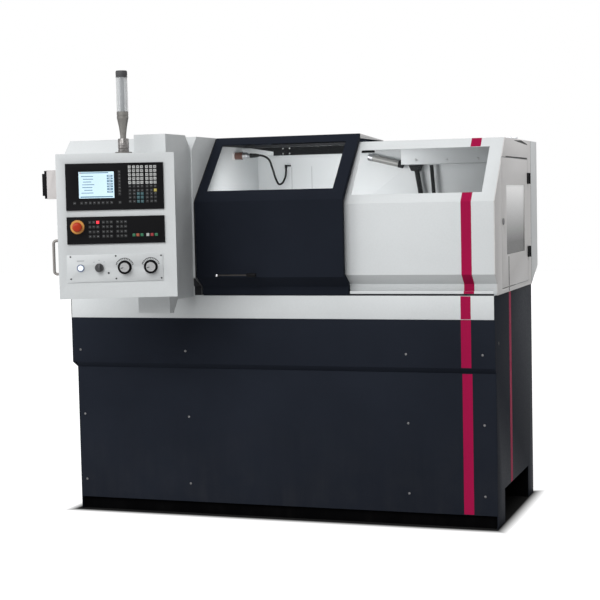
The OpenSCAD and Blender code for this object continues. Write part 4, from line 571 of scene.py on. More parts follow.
# %% The lead, its plug and its socket
LEAD_MM = [
    (0, 0, 0), (14, 0, 0), (28, 1.5, -1.5), (40, 6, -6), (50, 13, -13), (56, 22, -22), (58.5, 33, -33),
    (58, 46, -46), (57.5, 61, -61), (57, 78, -77), (55, 95, -93), (54, 113, -108), (53, 131, -121),
    (52, 147, -130), (51, 163, -136), (50, 181, -138), (50, 205, -135), (51, 227, -128), (51, 246, -116),
    (52, 261, -101), (52, 271, -84), (52, 274, -66), (52, 274, -58)]
LEAD_RADIUS = 0.005
FITTINGS = ["lead_fittings"]
lead_start = Vector((-0.224, 0.0, 1.648))
lead_path = [lead_start + Vector(p) / 1000 for p in LEAD_MM]
cable = bar("hanging_lead_cable", lead_path, LEAD_RADIUS, 4, smooth=True)
lead = finish(cable, "frame", "rubber", ["hanging_lead"])
along_x = facing((-0.340, 0, 1.648), TO_RIGHT)
seat = spun("lead_plug_seat", [(0, 0), (0.018, 0), (0.018, 0.009), (0.017, 0.010), (0, 0.010)],
            along_x, "frame", "paint_end", FITTINGS)
plug = spun("lead_plug", [
    (0, 0.010), (0.0172, 0.010), (0.018, 0.011), (0.018, 0.047), (0.0165, 0.0485), (0, 0.0485)],
    along_x, "frame", "plug", FITTINGS)
nut = spun("lead_plug_nut", [
    (0, 0.0485), (0.0155, 0.0485), (0.017, 0.050), (0.017, 0.056), (0.0158, 0.0575), (0.0158, 0.0595),
    (0.017, 0.061), (0.017, 0.068), (0.0155, 0.0696), (0.0106, 0.0696), (0.0106, 0.085), (0, 0.085)],
    along_x, "frame", "zinc", FITTINGS)
relief = spun("lead_strain_relief", [
    (0, 0.085), (0.0108, 0.085), (0.0108, 0.096), (0.0098, 0.098), (0.0098, 0.101), (0.0104, 0.103),
    (0.0092, 0.116), (0.0062, 0.130), (0, 0.130)],
    along_x, "frame", "rubber", FITTINGS)
gland = turned("lead_gland", [
    (0, 0), (0.0058, 0), (0.007, 0.002), (0.007, 0.0095), (0.0062, 0.0105), (0.0062, 0.0120),
    (0.007, 0.013), (0.007, 0.0160), (0, 0.0160)])
placed(gland, Matrix.Translation(lead_path[-1]))
arm = round_edges(block("arm", (-0.179, 0.274, 1.598), (-0.165, 0.330, 1.606)), 0.001)
finish(joined("lead_gland", [gland, arm]), "frame", "black_plastic", FITTINGS)

# %% [markdown]
# ## Softened sheet metal and castings
# Folded sheets and machined castings never have a razor edge: a small radius catches the light. Every
# such CAD node is copied, its triangles are merged into clean faces, and a bevel runs along its edges.

# %% Softened copies of CAD nodes
SLOT_OF = {entry["node"]: entry["material_slot"] for entry in frame["record"]["subparts"]}
CAD_WELD, FLAT_ANGLE = 1e-5, math.radians(0.5)


def softened(node, width):
    source = frame["nodes"][node]
    obj = twin(source)
    obj.parent = None
    for key in [key for key in obj.keys() if key.startswith("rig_")]:
        del obj[key]
    obj.name = node + "_softened"
    edit_all(obj)
    bpy.ops.mesh.remove_doubles(threshold=CAD_WELD)
    bpy.ops.mesh.dissolve_limited(angle_limit=FLAT_ANGLE)
    edit_done()
    round_edges(obj, width)
    return finish(obj, source["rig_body"], SLOT_OF[node], [node])


SOFT_WIDTHS = {
    0.0012: "base_cabinet lower_front_panel upper_front_panel front_sill_panel headstock_cover right_cover"
            " rear_cabinet console sliding_door control_box control_box_back right_end_panel end_door",
    0.0008: "chip_tray back_wall door_rails fan_guard switch_plate display_panel operator_panel"
            " end_hinge_leaves end_hinge_knuckles",
    0.003: "base_frame bed headstock carriage cross_slide tailstock spindle_motor",
    0.0015: "fan_frame chuck jaw_1 jaw_2 jaw_3 turret_disc tailstock_wheel motor_pulley spindle",
}
soft = {node: softened(node, width) for width, nodes in SOFT_WIDTHS.items() for node in nodes.split()}
print(len(soft), "nodes softened,", sum(len(o.data.polygons) for o in soft.values()), "faces")

# %% [markdown]
# ## The magenta stripe
# A foil strip runs down the machine's front near its right end. It was cut per panel and pressed round
# every fold, so each strip is one edge line of the panel's section, drawn out to the foil's width and
# thickened outwards by 0.4 mm.

# %% Foil strips
FOIL = 0.0004


def foil(name, line, span, body, look="stripe"):
    """A strip along a line of (y, z) points, over a span of x."""
    obj = drawn(name, [(span[0], y, z) for y, z in line])
    edit_all(obj)
    bpy.ops.mesh.extrude_region_move(TRANSFORM_OT_translate={"value": (span[1] - span[0], 0, 0)})
    bpy.ops.mesh.select_all(action="SELECT")
    bpy.ops.mesh.normals_make_consistent(inside=False)
    edit_done()
    if sum(p.normal.y for p in obj.data.polygons) > 0:
        obj.data.flip_normals()
    return finish(thickened(obj, FOIL, 1.0), body, look)


def along(a, b, share):
    return tuple(p + (q - p) * share for p, q in zip(a, b))


UPPER_Y, LOWER_Y = -0.435, -0.417
BASE_SPAN, COVER_SPAN = (0.856, 0.900), (0.866, 0.911)
SLANT_LOW, SLANT_TOP = (-0.452, 1.413), (-0.208, 1.688)
WINDOW_FROM, WINDOW_TO = 0.051, 0.317
slant = math.dist(SLANT_LOW, SLANT_TOP)
STRIPES = {
    "foil_band": ([(UPPER_Y, 0.9095), (UPPER_Y, 1.0085)], BASE_SPAN),
    "foil_upper": ([(UPPER_Y, 0.700), (UPPER_Y, 0.9065)], BASE_SPAN),
    "foil_lower": ([(LOWER_Y, 0.060), (LOWER_Y, 0.672)], BASE_SPAN),
    "foil_cover_front": ([(-0.404, 1.012), (-0.404, 1.060), (-0.452, 1.102), SLANT_LOW,
                          along(SLANT_LOW, SLANT_TOP, WINDOW_FROM / slant)], COVER_SPAN),
    "foil_cover_top": ([along(SLANT_LOW, SLANT_TOP, WINDOW_TO / slant), SLANT_TOP], COVER_SPAN),
}
for name, (line, span) in STRIPES.items():
    foil(name, line, span, "frame")
print(len(STRIPES), "foil strips")

# %% [markdown]
# ## Panel screws
# The base panels are held by small domed socket screws. One is turned with its socket and copied to
# every place; the heads are dull metal, which is why they show as grey dots on the dark paint.

# %% Domed socket screws
HEAD = [(0, 0.2), (0.38, 0.2), (0.38, 0.52), (0.5, 0.55), (0.75, 0.42), (0.95, 0.2), (1, 0), (0, 0)]


def screws(name, radius, places, body, look):
    """Copies of one domed head with a round socket, each standing at its place."""
    head = turned("pattern", [(r * radius, z * radius) for r, z in HEAD], 18)
    return finish(copies(head, name, places), body, look)


spots = [(x, UPPER_Y, 0.756) for x in (-0.962, -0.429, 0.611, 0.949)]
spots += [(x, LOWER_Y, z) for z in (0.451, 0.141) for x in (-0.957, -0.427, 0.612, 0.950)]
screws("base_front_screws", 0.006, [facing(p, TO_FRONT) for p in spots], "frame", "screw_dull")
print(len(spots), "front screws")

# %% [markdown]
# ## Control box: keys, screen, legends
# The keyboard is a grid of short square caps under a foil. A cap is a low block with rounded edges,
# copied to the CAD's rows and columns, with one mesh per colour. Legends stay as plain little bars, so
# nothing can be read on them.

# %% The panel's own frame
SWIVEL, SWUNG_OUT = (-0.378, -0.805, 0), math.radians(24)
PANEL = Matrix.Translation(SWIVEL) @ Matrix.Rotation(SWUNG_OUT, 4, "Z")
FACE, PLATE = -0.154, -0.151


def on_panel(x, z, y=FACE):
    """A place on the control box's front: X to the right, Y up, Z out of the panel."""
    return PANEL @ facing((x, y, z), TO_FRONT)


def tile(name, width, height, depth, soften=0.0):
    obj = block(name, (-width / 2, -height / 2, 0), (width / 2, height / 2, depth))
    return round_edges(obj, soften, 2) if soften else obj


# %% Key caps by colour
KEYS_LEFT, KEYS_WIDE = -0.380, 0.407
DISPLAY_TOP, DISPLAY_HIGH, PANEL_TOP, PANEL_HIGH = 1.605, 0.195, 1.383, 0.114
CAP, CAP_DEPTH, CAP_ROUND = 0.012, 0.0015, 0.0006


def display_key(column, row):
    return (KEYS_LEFT + KEYS_WIDE * column, DISPLAY_TOP - DISPLAY_HIGH * row)


def panel_key(column, row):
    return (KEYS_LEFT + KEYS_WIDE * column, PANEL_TOP - PANEL_HIGH * row)


def display_colour(r, c):
    if r < 5:
        return "keys"
    if (r, c) == (6, 6):
        return "yellow_key"
    return "teal_key" if r > 6 and c in (2, 3) else "dark_key"


COLUMNS = [0.655, 0.698, 0.740, 0.779, 0.831, 0.874, 0.914]
ROWS = [0.093, 0.175, 0.26, 0.344, 0.427, 0.509, 0.595, 0.665, 0.743, 0.829]
PANEL_COLUMNS = [0.236, 0.276, 0.316, 0.374, 0.414, 0.454, 0.519, 0.559, 0.599]
PANEL_ROWS = [0.208, 0.375, 0.558, 0.725]
COLOUR_COLUMNS = [0.683, 0.723, 0.765, 0.825, 0.868, 0.912]
COLOUR_ROW, SOFT_KEY_ROW, SOFT_KEY_COLUMN = 0.7, 0.845, 0.55
KINDS = "keys dark_key teal_key yellow_key red_key green_key amber_key lit_red".split()
caps = {kind: [] for kind in KINDS}
for r, row in enumerate(ROWS):
    for c, column in enumerate(COLUMNS):
        caps[display_colour(r, c)].append(display_key(column, row))
caps["dark_key"] += [display_key(0.1595 + 0.0436 * k, SOFT_KEY_ROW) for k in range(8)]
caps["dark_key"] += [display_key(SOFT_KEY_COLUMN, 0.19 + 0.068 * k) for k in range(8)]
caps["dark_key"] += [display_key(c, SOFT_KEY_ROW) for c in (0.088, SOFT_KEY_COLUMN)]
for r, row in enumerate(PANEL_ROWS):
    for c, column in enumerate(PANEL_COLUMNS):
        caps["lit_red" if (r, c) == (0, 2) else "dark_key"].append(panel_key(column, row))
for kind, column in zip("green_key amber_key green_key keys red_key green_key".split(), COLOUR_COLUMNS):
    caps[kind].append(panel_key(column, COLOUR_ROW))
for kind, places in caps.items():
    cap = tile("cap", CAP, CAP, CAP_DEPTH, CAP_ROUND)
    piece = copies(cap, "caps_" + kind, [on_panel(*p) for p in places])
    finish(piece, "control", kind, ["panel_keys"])
print({kind: len(places) for kind, places in caps.items()})

# %% Marks on the keys and fields on the screen
INK = 0.0002


def marks(name, look, wanted, height, lift):
    """Flat little bars: each wanted entry is (x, z, width)."""
    made = [placed(tile("mark", width, height, INK), on_panel(x, z, FACE - lift)) for x, z, width in wanted]
    return finish(joined(name, made), "control", look)


widths = [0.0055, 0.0035, 0.0065, 0.0045]
DISPLAY_LOW = 1.45
white_keys = [p for p in caps["keys"] if p[1] > DISPLAY_LOW]
dark_keys = caps["dark_key"] + caps["teal_key"]
on_white = [(x, z + 0.0008, widths[i % 4]) for i, (x, z) in enumerate(white_keys)]
on_dark = [(x, z + 0.0012 * (i % 2), widths[i % 3]) for i, (x, z) in enumerate(dark_keys)]
marks("marks_dark", "dark_ink", on_white, 0.0022, CAP_DEPTH)
marks("marks_pale", "pale_ink", on_dark, 0.0016, CAP_DEPTH)
marks("screen_header", "screen_blue", [(-0.262, 1.5655, 0.120)], 0.0035, 0)
marks("screen_footer", "screen_blue", [(-0.252, 1.4655, 0.134)], 0.0045, 0)
text_rows = [(-0.290 + 0.004 * (k % 2), 1.551 - 0.0115 * k, 0.050 - 0.008 * (k % 3)) for k in range(7)]
marks("screen_rows", "screen_blue", text_rows, 0.0028, 0)
marks("screen_cells", "screen_blue", [(-0.196, 1.552 - 0.011 * k, 0.024) for k in range(7)], 0.0075, 0)
values = [(-0.196, 1.552 - 0.011 * k, 0.014 - 0.003 * (k % 3)) for k in range(7)]
marks("screen_values", "screen_white", values, 0.0018, INK)
marks("screen_warning", "lit_red", [(-0.318, 1.5655, 0.006)], 0.0035, 0)
print("screen fields and key marks done")

# %% [markdown]
# ## Buttons, selector and override dials
# These are turned parts, so each is a profile spun round its axis and set on the panel. The stop is a
# moulded mushroom over a yellow collar; the dials are black knurled bodies with a spun metal cap.

# %% Emergency stop and its yellow collar
STOP = (-0.336, 1.341)
spun("stop_mushroom", [
    (0, -0.03), (0.011, -0.03), (0.011, 0), (0.0165, 0), (0.0193, 0.0012), (0.02, 0.003), (0.02, 0.0078),
    (0.0192, 0.0098), (0.0165, 0.0125), (0.0125, 0.0143), (0.007, 0.0149), (0, 0.015)],
    on_panel(*STOP, -0.170), "stop", "stop_red", ["estop_button"], 40, 50)
spun("stop_collar", [
    (0.0117, 0), (0.0294, 0), (0.0294, 0.003), (0.028, 0.0044), (0.0117, 0.0044), (0.0117, 0)],
    on_panel(*STOP), "control", "signal_yellow", steps=40)
print("stop done")

# %% Lit push button, its ring and the selector
KNOB_Z, PUSH_X, SELECTOR_X = 1.169, -0.328, -0.251
PLATE_GAP = 0.001
push_place = on_panel(PUSH_X, KNOB_Z, PLATE)
spun("push_lens", [
    (0, -0.022), (0.011, -0.022), (0.011, 0.0065), (0.0098, 0.0082), (0.006, 0.0089), (0, 0.009)],
    push_place, "push", "push_white", ["power_button"])
spun("push_ring", [
    (0.0114, 0), (0.0158, 0), (0.0158, 0.0022), (0.0145, 0.0036), (0.0114, 0.0036), (0.0114, 0)],
    push_place, "control", "ring_blue")
knob = turned("selector_body", [
    (0, -0.02), (0.011, -0.02), (0.011, 0), (0.0165, 0), (0.018, 0.0015), (0.018, 0.0085),
    (0.0168, 0.01), (0, 0.01)], 36)
grip = round_edges(block("grip", (-0.006, -0.0172, 0.0095), (0.006, 0.0172, 0.022)), 0.002, 3)
placed(joined("selector_body", [knob, grip]), on_panel(SELECTOR_X, KNOB_Z, PLATE - PLATE_GAP))
finish(knob, "mode", "selector_grey", ["mode_switch"])
line = tile("selector_line", 0.0016, 0.014, 0.0003)
finish(placed(line, on_panel(SELECTOR_X, 1.177, PLATE - 0.0229)), "mode", "pale_ink")
print("push button and selector done")

# %% Knurled dials
def drawn_in(obj, ridges, share, beyond=0.0):
    """Every second column of points of a many-sided drum is drawn in, if it lies beyond a radius."""
    for vertex in obj.data.vertices:
        turn = math.atan2(vertex.co.y, vertex.co.x) / math.pi * ridges
        if round(turn) % 2 and math.hypot(vertex.co.x, vertex.co.y) > beyond:
            vertex.co.x, vertex.co.y = vertex.co.x * share, vertex.co.y * share
    return obj


def knurled(name, radius, height, ridges=30):
    deselect()
    bpy.ops.mesh.primitive_cylinder_add(
        vertices=ridges * 2, radius=radius, depth=height, location=(0, 0, height / 2))
    obj = settle(bpy.context.object)
    obj.name = name
    return round_edges(drawn_in(obj, ridges, 0.955), 0.0008, 1, 60)


def swung(degrees, offset):
    """Round the Z axis by an angle, and then out by an offset."""
    return Matrix.Rotation(math.radians(degrees), 4, "Z") @ Matrix.Translation(offset)


for node, body, x in (("spindle_dial", "dial_a", -0.145), ("feed_dial", "dial_b", -0.036)):
    place = on_panel(x, KNOB_Z, PLATE - PLATE_GAP)
    skirt = turned(node + "_body", [
        (0, -0.02), (0.006, -0.02), (0.006, 0), (0.028, 0), (0.029, 0.001), (0.029, 0.004),
        (0.0275, 0.006), (0, 0.006)], 48)
    drum = placed(knurled("drum", 0.023, 0.019), Matrix.Translation((0, 0, 0.006)))
    placed(joined(node + "_body", [skirt, drum]), place)
    finish(skirt, body, "black_plastic", [node])
    spun(node + "_cap", [
        (0, 0.0245), (0.0195, 0.0245), (0.0195, 0.0255), (0.0187, 0.026), (0.017, 0.0258), (0, 0.0254)],
        place, body, "dial_grey", steps=48)
    pointer = tile(node + "_pointer", 0.011, 0.0032, 0.0006, 0.0004)
    finish(placed(pointer, place @ swung(12, (-0.011, 0, 0.0256))), body, "dark_ink")
    ticks = [place @ swung(a, (0, 0.0345, -PLATE_GAP)) for a in range(-72, 73, 12)]
    finish(copies(tile("tick", 0.0022, 0.0052, 0.0003), node + "_ticks", ticks), "control", "dark_ink")
    arc = turned(node + "_arc", [
        (0.0370, 0), (0.0390, 0), (0.0390, 0.0003), (0.0370, 0.0003), (0.0370, 0)], 60)
    edit_all(arc)
    bpy.ops.mesh.bisect(plane_co=(0, 0.011, 0), plane_no=(0, 1, 0), clear_inner=True, use_fill=True)
    edit_done()
    finish(placed(arc, place @ Matrix.Translation((0, 0, -PLATE_GAP))), "control", "dark_ink")
print("dials done")

# %% Screws and marks of the switch plate
spots = [(-0.369, 1.217), (-0.181, 1.217), (0.008, 1.215), (-0.369, 1.124), (-0.181, 1.122), (0.008, 1.120)]
screws("switch_plate_screws", 0.0036, [on_panel(x, z, PLATE) for x, z in spots], "control", "dark_key")
spun("key_slot_eye", [(0, 0), (0.0042, 0), (0.0042, 0.0006), (0.003, 0.0009), (0, 0.0009)],
     on_panel(-0.212, 1.146, PLATE), "control", "dark_ink", steps=20)
captions = [(PUSH_X, 1.199, 0.030), (-0.272, 1.193, 0.005), (SELECTOR_X, 1.200, 0.005),
            (-0.230, 1.193, 0.005)]
made = [placed(tile("caption", width, 0.0028, INK), on_panel(x, z, PLATE)) for x, z, width in captions]
finish(joined("switch_captions", made), "control", "grey_ink")
print(len(spots), "plate screws and", len(captions), "captions")

# %% [markdown]
# ## Signal lamp
# A flanged foot, a metal collar, a flaring pole and a clear ribbed tube with a dark cap. All are
# turned; the ribs of the tube are pressed in by drawing every second column of points inwards.

# %% Signal lamp
LAMP = PANEL @ Matrix.Translation((-0.137, -0.085, 1.646))
LAMP_PARTS = [  # name, slot, look, smoothing angle, profile
    ("lamp_foot", "black_plastic", "neck_metal", 35, [
        (0, 0), (0.0345, 0), (0.036, 0.0015), (0.036, 0.0045), (0.0345, 0.006), (0.023, 0.006), (0, 0.006)]),
    ("lamp_collar", "chrome", "collar_metal", 35, [
        (0, 0.006), (0.023, 0.006), (0.023, 0.016), (0.0218, 0.0175), (0.0218, 0.0195), (0.023, 0.021),
        (0.023, 0.0585), (0.0215, 0.062), (0.0125, 0.062), (0, 0.062)]),
    ("lamp_pole", "black_plastic", "neck_metal", 50, [
        (0, 0.062), (0.0125, 0.062), (0.0125, 0.074), (0.0135, 0.084), (0.0175, 0.113), (0.0225, 0.139),
        (0.0245, 0.148), (0, 0.148)]),
    ("lamp_band", None, "neck_metal", 35, [
        (0, 0.148), (0.0245, 0.148), (0.0245, 0.156), (0.0235, 0.157), (0.0235, 0.159), (0.0245, 0.16),
        (0.0245, 0.175), (0, 0.175)]),
    ("lamp_core_cap", "black_plastic", "selector_grey", 35, [
        (0, 0.175), (0.009, 0.175), (0.009, 0.318), (0.0245, 0.318), (0.0245, 0.323), (0.0236, 0.324),
        (0.0236, 0.326), (0.0245, 0.327), (0.0245, 0.341), (0.0225, 0.346), (0.0, 0.347)])]
for name, slot, look, angle, profile in LAMP_PARTS:
    spun(name, profile, LAMP, "control", look, ["signal_lamp_base"], 40, angle)
shell = turned("lamp_ribbed_tube", [
    (0.0215, 0.1752), (0.0243, 0.1752), (0.0243, 0.3178), (0.0215, 0.3178), (0.0215, 0.1752)], 56)
drawn_in(shell, 28, 0.965, 0.023)
finish(placed(shell, LAMP), "control", "lamp_clear", ["signal_lamp_lens"], 20)
ring = turned("ring", [(0.009, 0), (0.02, 0), (0.02, 0.002), (0.009, 0.002), (0.009, 0)], 28)
levels = [LAMP @ Matrix.Translation((0, 0, z)) for z in (0.2095, 0.2455, 0.2815)]
finish(copies(ring, "lamp_reflector_rings", levels), "control", "chrome")
print("signal lamp done")

# %% [markdown]
# ## Handles
# The box's side handle is one bent bar; a path with rounded corners gets the bar's thickness. The
# door's handle is a thin bar between a ball-ended post and a dark moulded grip.

# %% Rounded corners of a bent bar
def rounded_path(points, radius, steps=6):
    """The corner points of a bent bar with each inner corner turned into an arc."""
    points = [Vector(p) for p in points]
    path = [points[0]]
    for before, here, after in zip(points, points[1:], points[2:]):
        a, b = (before - here).normalized(), (after - here).normalized()
        centre = here + (a + b) * radius
        for k in range(steps + 1):
            turn = math.pi / 2 * k / steps
            path.append(centre - b * radius * math.cos(turn) - a * radius * math.sin(turn))
    return path + [points[-1]]


# %% Handles of the control box and the door
BOX_SIDE, GRIP_OUT, GRIP_Y = -0.4195, -0.441, -0.095
GRIP_LOW, GRIP_TOP = 1.1435, 1.2845
side = rounded_path([(BOX_SIDE, GRIP_Y, GRIP_LOW), (GRIP_OUT, GRIP_Y, GRIP_LOW),
                     (GRIP_OUT, GRIP_Y, GRIP_TOP), (BOX_SIDE, GRIP_Y, GRIP_TOP)], 0.012)
side_handle = placed(bar("box_side_handle", side, 0.006), PANEL)
finish(side_handle, "control", "handle_dark", ["control_handle"])
DOOR_Y, ROD_Y, ROD_Z = -0.505, -0.543, 1.108
ROD_LEFT, ROD_RIGHT = -0.228, -0.079
rod = bar("door_handle_bar", [(ROD_LEFT, ROD_Y, ROD_Z), (ROD_RIGHT, ROD_Y, ROD_Z)], 0.0038)
spun("door_handle_post", [
    (0, 0), (0.007, 0), (0.007, 0.034), (0.0066, 0.039), (0.0066, 0.041), (0.0052, 0.0437),
    (0.0028, 0.0448), (0, 0.045)],
    facing((-0.221, DOOR_Y, ROD_Z), TO_FRONT), "door", "chrome", ["door_handle"], 24)
finish(rod, "door", "bar_dark", ["door_handle"])
black = turned("door_handle_grip", [
    (0, 0), (0.0066, 0), (0.008, 0.0015), (0.0088, 0.01), (0.009, 0.022), (0.0085, 0.036),
    (0.0068, 0.0425), (0.004, 0.0438), (0, 0.044)], 24)
placed(black, facing((ROD_RIGHT, ROD_Y, ROD_Z), TO_RIGHT))
stem = turned("stem", [(0, 0), (0.007, 0), (0.007, 0.038), (0, 0.038)], 24)
placed(stem, facing((-0.057, DOOR_Y, ROD_Z), TO_FRONT))
finish(joined("door_handle_grip", [black, stem]), "door", "black_plastic", ["door_handle"])
print("handles done")

# %% [markdown]
# ## Behind the right window
# A tube lamp hangs on two brackets, its right end in a black cap. Two ribbed conduits come up out of a
# small box to a folded ledge, the left one held by a clamp. The ribs are turned as one long profile.

# %% Tube lamp
TUBE = Matrix.Translation((0.244, 0.300, 1.633)) @ Matrix.Rotation(math.atan2(43, 174), 4, "Y")
TUBE_LONG, TUBE_CAP = math.hypot(0.174, 0.043), 0.02
BRACKET_IN, BRACKET_HALF, BRACKET_DEEP = 0.018, 0.006, 0.030
own_length = facing((0, 0, 0), TO_RIGHT)
lengthwise = TUBE @ own_length
glass_end = TUBE_LONG - TUBE_CAP
spun("work_lamp_tube", [(0, TUBE_CAP), (0.0165, TUBE_CAP), (0.0165, glass_end), (0, glass_end)],
     lengthwise, "frame", "lamp_tube", ["tube_lamp"], 28)
head = turned("cap", [(0, 0), (0.016, 0), (0.018, 0.002), (0.018, 0.022), (0.0172, 0.024), (0, 0.024)], 28)
brackets = []
for x in (BRACKET_IN, TUBE_LONG - BRACKET_IN):
    low = (x - BRACKET_HALF, 0, -BRACKET_HALF)
    brackets.append(block("bracket", low, (x + BRACKET_HALF, BRACKET_DEEP, BRACKET_HALF)))
mount = joined("work_lamp_mount", [placed(head, own_length)] + brackets)
finish(placed(mount, TUBE), "frame", "steel", ["tube_lamp"])
spun("work_lamp_end_cap", [
    (0, -0.024), (0.0172, -0.024), (0.018, -0.022), (0.018, -0.002), (0.016, 0), (0, 0)],
    lengthwise @ Matrix.Translation((0, 0, TUBE_LONG)), "frame", "black_plastic",
    ["tube_lamp"], 28)
print("tube lamp", round(TUBE_LONG, 3), "m")

# %% Ribbed conduits, their clamp and box
LEDGE_Z, BOX_TOP = 1.589, 1.2485
CONDUIT_Y, LEDGE_GAP = 0.296, 0.003
CLAMP_FOOT, CLAMP_MID, CLAMP_TAPER = 1.57, 0.478, 0.013


def ribbed(name, radius, length, pitch=0.0065):
    inner = radius * 0.82
    profile = [(0, 0)]
    for k in range(int(length / pitch)):
        z = k * pitch
        profile += [(radius, z), (radius, z + 0.45 * pitch)]
        profile += [(inner, z + 0.6 * pitch), (inner, z + 0.85 * pitch)]
    return turned(name, profile + [(0, profile[-1][1])], 16)


runs = []
for x, radius, lean in ((0.478, 0.013, 9.4), (0.556, 0.010, 4.3)):
    slope = math.radians(lean)
    down = Vector((math.sin(slope), 0, -math.cos(slope)))
    start = Vector((x, CONDUIT_Y, LEDGE_Z + radius)) + down * (radius / math.cos(slope) + LEDGE_GAP)
    runs.append(placed(ribbed("run", radius, (LEDGE_Z - BOX_TOP) / math.cos(slope)), facing(start, down)))
finish(joined("ribbed_conduits", runs), "frame", "rubber", ["conduits"], 60)
clamp = block("clamp", (0.447, 0.279, 1.559), (0.509, 0.330, 1.587))
for vertex in clamp.data.vertices:
    if vertex.co.z < CLAMP_FOOT:
        vertex.co.x += CLAMP_TAPER if vertex.co.x < CLAMP_MID else -CLAMP_TAPER
round_edges(clamp, 0.003, 3)
junction = round_edges(block("junction", (0.455, 0.272, 1.150), (0.597, 0.330, 1.250)), 0.003, 3)
lid = round_edges(block("lid", (0.458, 0.2705, 1.153), (0.594, 0.2745, 1.247)), 0.001, 2)
boxes = joined("conduit_clamp_and_box", [clamp, junction, lid])
finish(boxes, "frame", "black_plastic", ["conduits"])
spots = [(0.511, 0.180, 1.6088), (0.658, 0.180, 1.6093), (0.808, 0.180, 1.6083)]
screws("ledge_screws", 0.006, [facing(p, TO_FRONT) for p in spots], "frame", "zinc")
print(len(runs), "conduits and", len(spots), "ledge screws")

# %% [markdown]
# ## Right end, rails and side of the base
# Thin joints read as dark lines. They are foil-thin bars set in the surface: the slot above the end
# door, the seam to the rear cabinet and two short seams low down. The lower door rail is darkened as
# painted shade of the gap under the right cover.

# %% Seams on the right end
SEAM_X0, SEAM_X1 = 1.0118, 1.0123
SEAM_Y0, SEAM_Y1 = -0.1565, -0.1435


def bars(name, body, look, boxes):
    return finish(joined(name, [block("bar", low, high) for low, high in boxes]), body, look)


bars("end_slot_line", "frame", "seam", [
    ((SEAM_X0, -0.199, 1.6015), (SEAM_X1, 0.312, 1.6065)),
    ((SEAM_X0, 0.4035, 1.013), (SEAM_X1, 0.4060, 1.686)),
    ((SEAM_X0, SEAM_Y0, 1.013), (SEAM_X1, SEAM_Y1, 1.030))])
bars("end_door_seam", "end_door", "seam", [((SEAM_X0, SEAM_Y0, 1.036), (SEAM_X1, SEAM_Y1, 1.166))])
side_foil = block("foil_base_side", (1.0040, -0.120, 0.152), (1.0043, -0.076, 1.008))
finish(side_foil, "frame", "stripe")
spun("base_side_eye", [(0, 0), (0.008, 0), (0.008, 0.0006), (0, 0.0006)],
     facing((1.004, -0.358, 0.800), TO_RIGHT), "frame", "dark_ink", steps=24)
print("seams of the right end done")

# %% End door lock and hinge screws
END_X, LOCK_Y, LOCK_Z = 1.012, -0.273, 1.322
HINGE_ZS, SCREW_STEP, LEAF_X = (1.168, 1.511), 0.016, 1.017
barrel = turned("barrel", [
    (0, -0.0140), (0.0098, -0.0140), (0.0098, 0.0002), (0.014, 0.0002), (0.014, 0.0035), (0.0125, 0.005),
    (0.0085, 0.0052), (0.008, 0.0046), (0, 0.0046)], 32)
placed(barrel, facing((END_X, LOCK_Y, LOCK_Z), TO_RIGHT))
cam = round_edges(block("cam", (0.998, -0.280, 1.277), (1.001, -0.266, LOCK_Z)), 0.0008)
finish(joined("end_lock_barrel", [barrel, cam]), "end_lock", "screw_dull", ["end_door_lock"])
slot = block("end_lock_slot", (1.0163, -0.2742, 1.317), (1.0169, -0.2718, 1.327))
finish(slot, "end_lock", "dark_ink")
for name, body, y in (("leaf_screws", "frame", 0.350), ("knuckle_screws", "end_door", 0.320)):
    spots = [(LEAF_X, y, z + dz) for z in HINGE_ZS for dz in (-SCREW_STEP, SCREW_STEP)]
    screws(name, 0.0032, [facing(p, TO_RIGHT) for p in spots], body, "dark_key")
print("end lock and hinge screws done")

# %% The lower door rail darkened as painted shade, and the dark lip under the roof
RAIL_SPLIT_Z, LIP_Y = 1.2, 0.1186
rails = soft["door_rails"]
only(rails)
bpy.ops.object.mode_set(mode="EDIT")
bpy.ops.mesh.select_all(action="DESELECT")
edit_done()
for face in rails.data.polygons:
    face.select = face.center.z < RAIL_SPLIT_Z
bpy.ops.object.mode_set(mode="EDIT")
bpy.ops.mesh.separate(type="SELECTED")
edit_done()
low_rail = next(o for o in bpy.context.selected_objects if o is not rails)
low_rail.name = "door_rail_painted_shade"
# The lower rail wears dark ink as painted shade: the shadow gap under the right cover.
finish(low_rail, "frame", "dark_ink", ["door_rails"])
bars("upper_rail_face", "frame", "dark_ink", [((-0.335, 0.1294, 1.6885), (0.330, 0.1301, 1.7002))])
lip = round_edges(block("roof_lip_dark", (-0.180, LIP_Y, 1.6475), (0.327, 0.1204, 1.6872)), 0.0005)
finish(lip, "frame", "paint_black")
spots = [(x, LIP_Y, z) for x in (-0.1305, -0.0973) for z in (1.681, 1.656)]
screws("roof_lip_screws", 0.0042, [facing(p, TO_FRONT) for p in spots], "frame", "zinc")
print("rails and roof lip done")

# %% [markdown]
# ## The door's roof, its lips and painted shade at its foot
# The hood's roof falls to the back: its points sink the more the farther back they lie. Dark lips
# under its rear and left folds close the gap to the covers, and a black foil where the door's foot
# meets the headstock cover is painted shade of the recess there.

# %% Roof fall, light roof edge, lips and painted shade at the door's foot
ROOF_Z, ROOF_FRONT, ROOF_DEEP, ROOF_SINK = 1.703, -0.22, 0.392, 0.913
SEAM_HALF = 0.0012
LIP_LEFT, LIP_LOW, LIP_TOP = -0.334, 1.6895, 1.7046


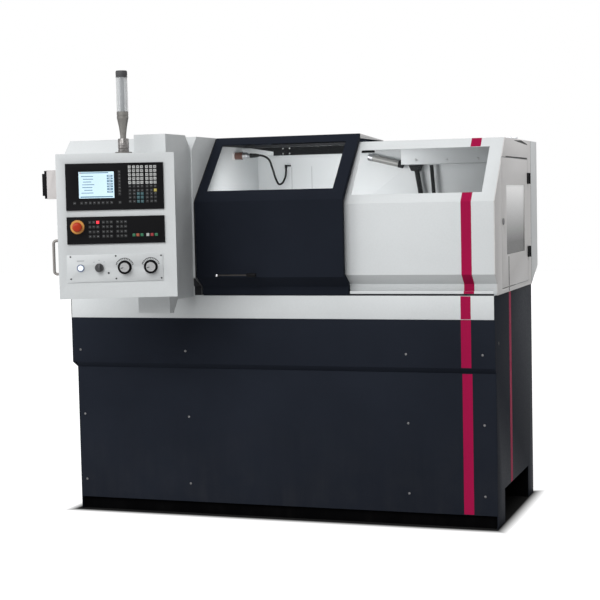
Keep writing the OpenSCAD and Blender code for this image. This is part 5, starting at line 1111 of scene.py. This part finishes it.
def fall(obj):
    for vertex in obj.data.vertices:
        if vertex.co.z > ROOF_Z and vertex.co.y > ROOF_FRONT:
            rest = 1 - ROOF_SINK * min((vertex.co.y - ROOF_FRONT) / ROOF_DEEP, 1)
            vertex.co.z = ROOF_Z + (vertex.co.z - ROOF_Z) * rest
    return obj


fall(soft["sliding_door"])
edge = round_edges(block("door_roof_edge", (0.3560, -0.212, 1.7045), (0.3572, 0.170, 1.7255)), 0.0004)
finish(fall(edge), "door", "paint_end")
bars("back_wall_seams", "frame", "grey_ink", [
    ((x - SEAM_HALF, 0.3294, 1.060), (x + SEAM_HALF, 0.3303, 1.596)) for x in (-0.162, -0.0575)])
bars("door_rear_lip", "door", "dark_ink", [
    ((LIP_LEFT, 0.1696, LIP_LOW), (0.356, 0.1722, LIP_TOP)),
    ((LIP_LEFT, -0.215, LIP_LOW), (-0.3315, 0.1710, LIP_TOP))])
# Black foil on the headstock cover beside the door's foot: painted shade of the recess there.
foot_line = [(-0.435, 1.012), (-0.435, 1.051), (-0.505, 1.093)]
foil("door_foot_painted_shade", foot_line, (-0.374, -0.340), "frame", "dark_ink")
gap_line = [(-0.433, 1.013), (-0.433, 1.051), (-0.5035, 1.0945), (-0.5035, 1.434), (-0.2195, 1.724)]
foil("door_gap_lip", gap_line, (-0.3415, -0.3345), "frame", "dark_ink")
print("door roof and seals done")

# %% Cut plates and trims
def cut_plate(name, corners, thickness, body, look):
    """A thin plate cut to a line of corners, thickened along its own normal."""
    plate = thickened(drawn(name, corners, face=True), thickness, 0.0)
    return finish(outward(plate), body, look)


corner_plate = [(x, 0.1196, z) for x, z in ((-0.3005, 1.6872), (-0.1805, 1.6668), (-0.1805, 1.6872))]
cut_plate("roof_lip_corner", corner_plate, 0.0016, "frame", "paint_black")
# A dark wedge on the right end's top edge: painted shade of the shadowed underside behind it.
shade_wedge_corners = ((-0.012, 1.680), (0.25, 1.669), (0.33, 1.6665), (0.31, 1.672), (0.17, 1.6845))
cut_plate("end_top_painted_shade", [(END_X, y, z) for y, z in shade_wedge_corners], 0.0006, "frame", "seam")
trim = round_edges(block("low_rail_trim", (0.362, -0.4308, 1.0185), (1.0, -0.4298, 1.0302)), 0.0003)
finish(trim, "frame", "paint_white")
bars("foil_rail_trim", "frame", "stripe", [((0.870, -0.4312, 1.0187), (0.915, -0.4306, 1.0300))])
print("cut plates and trims done")
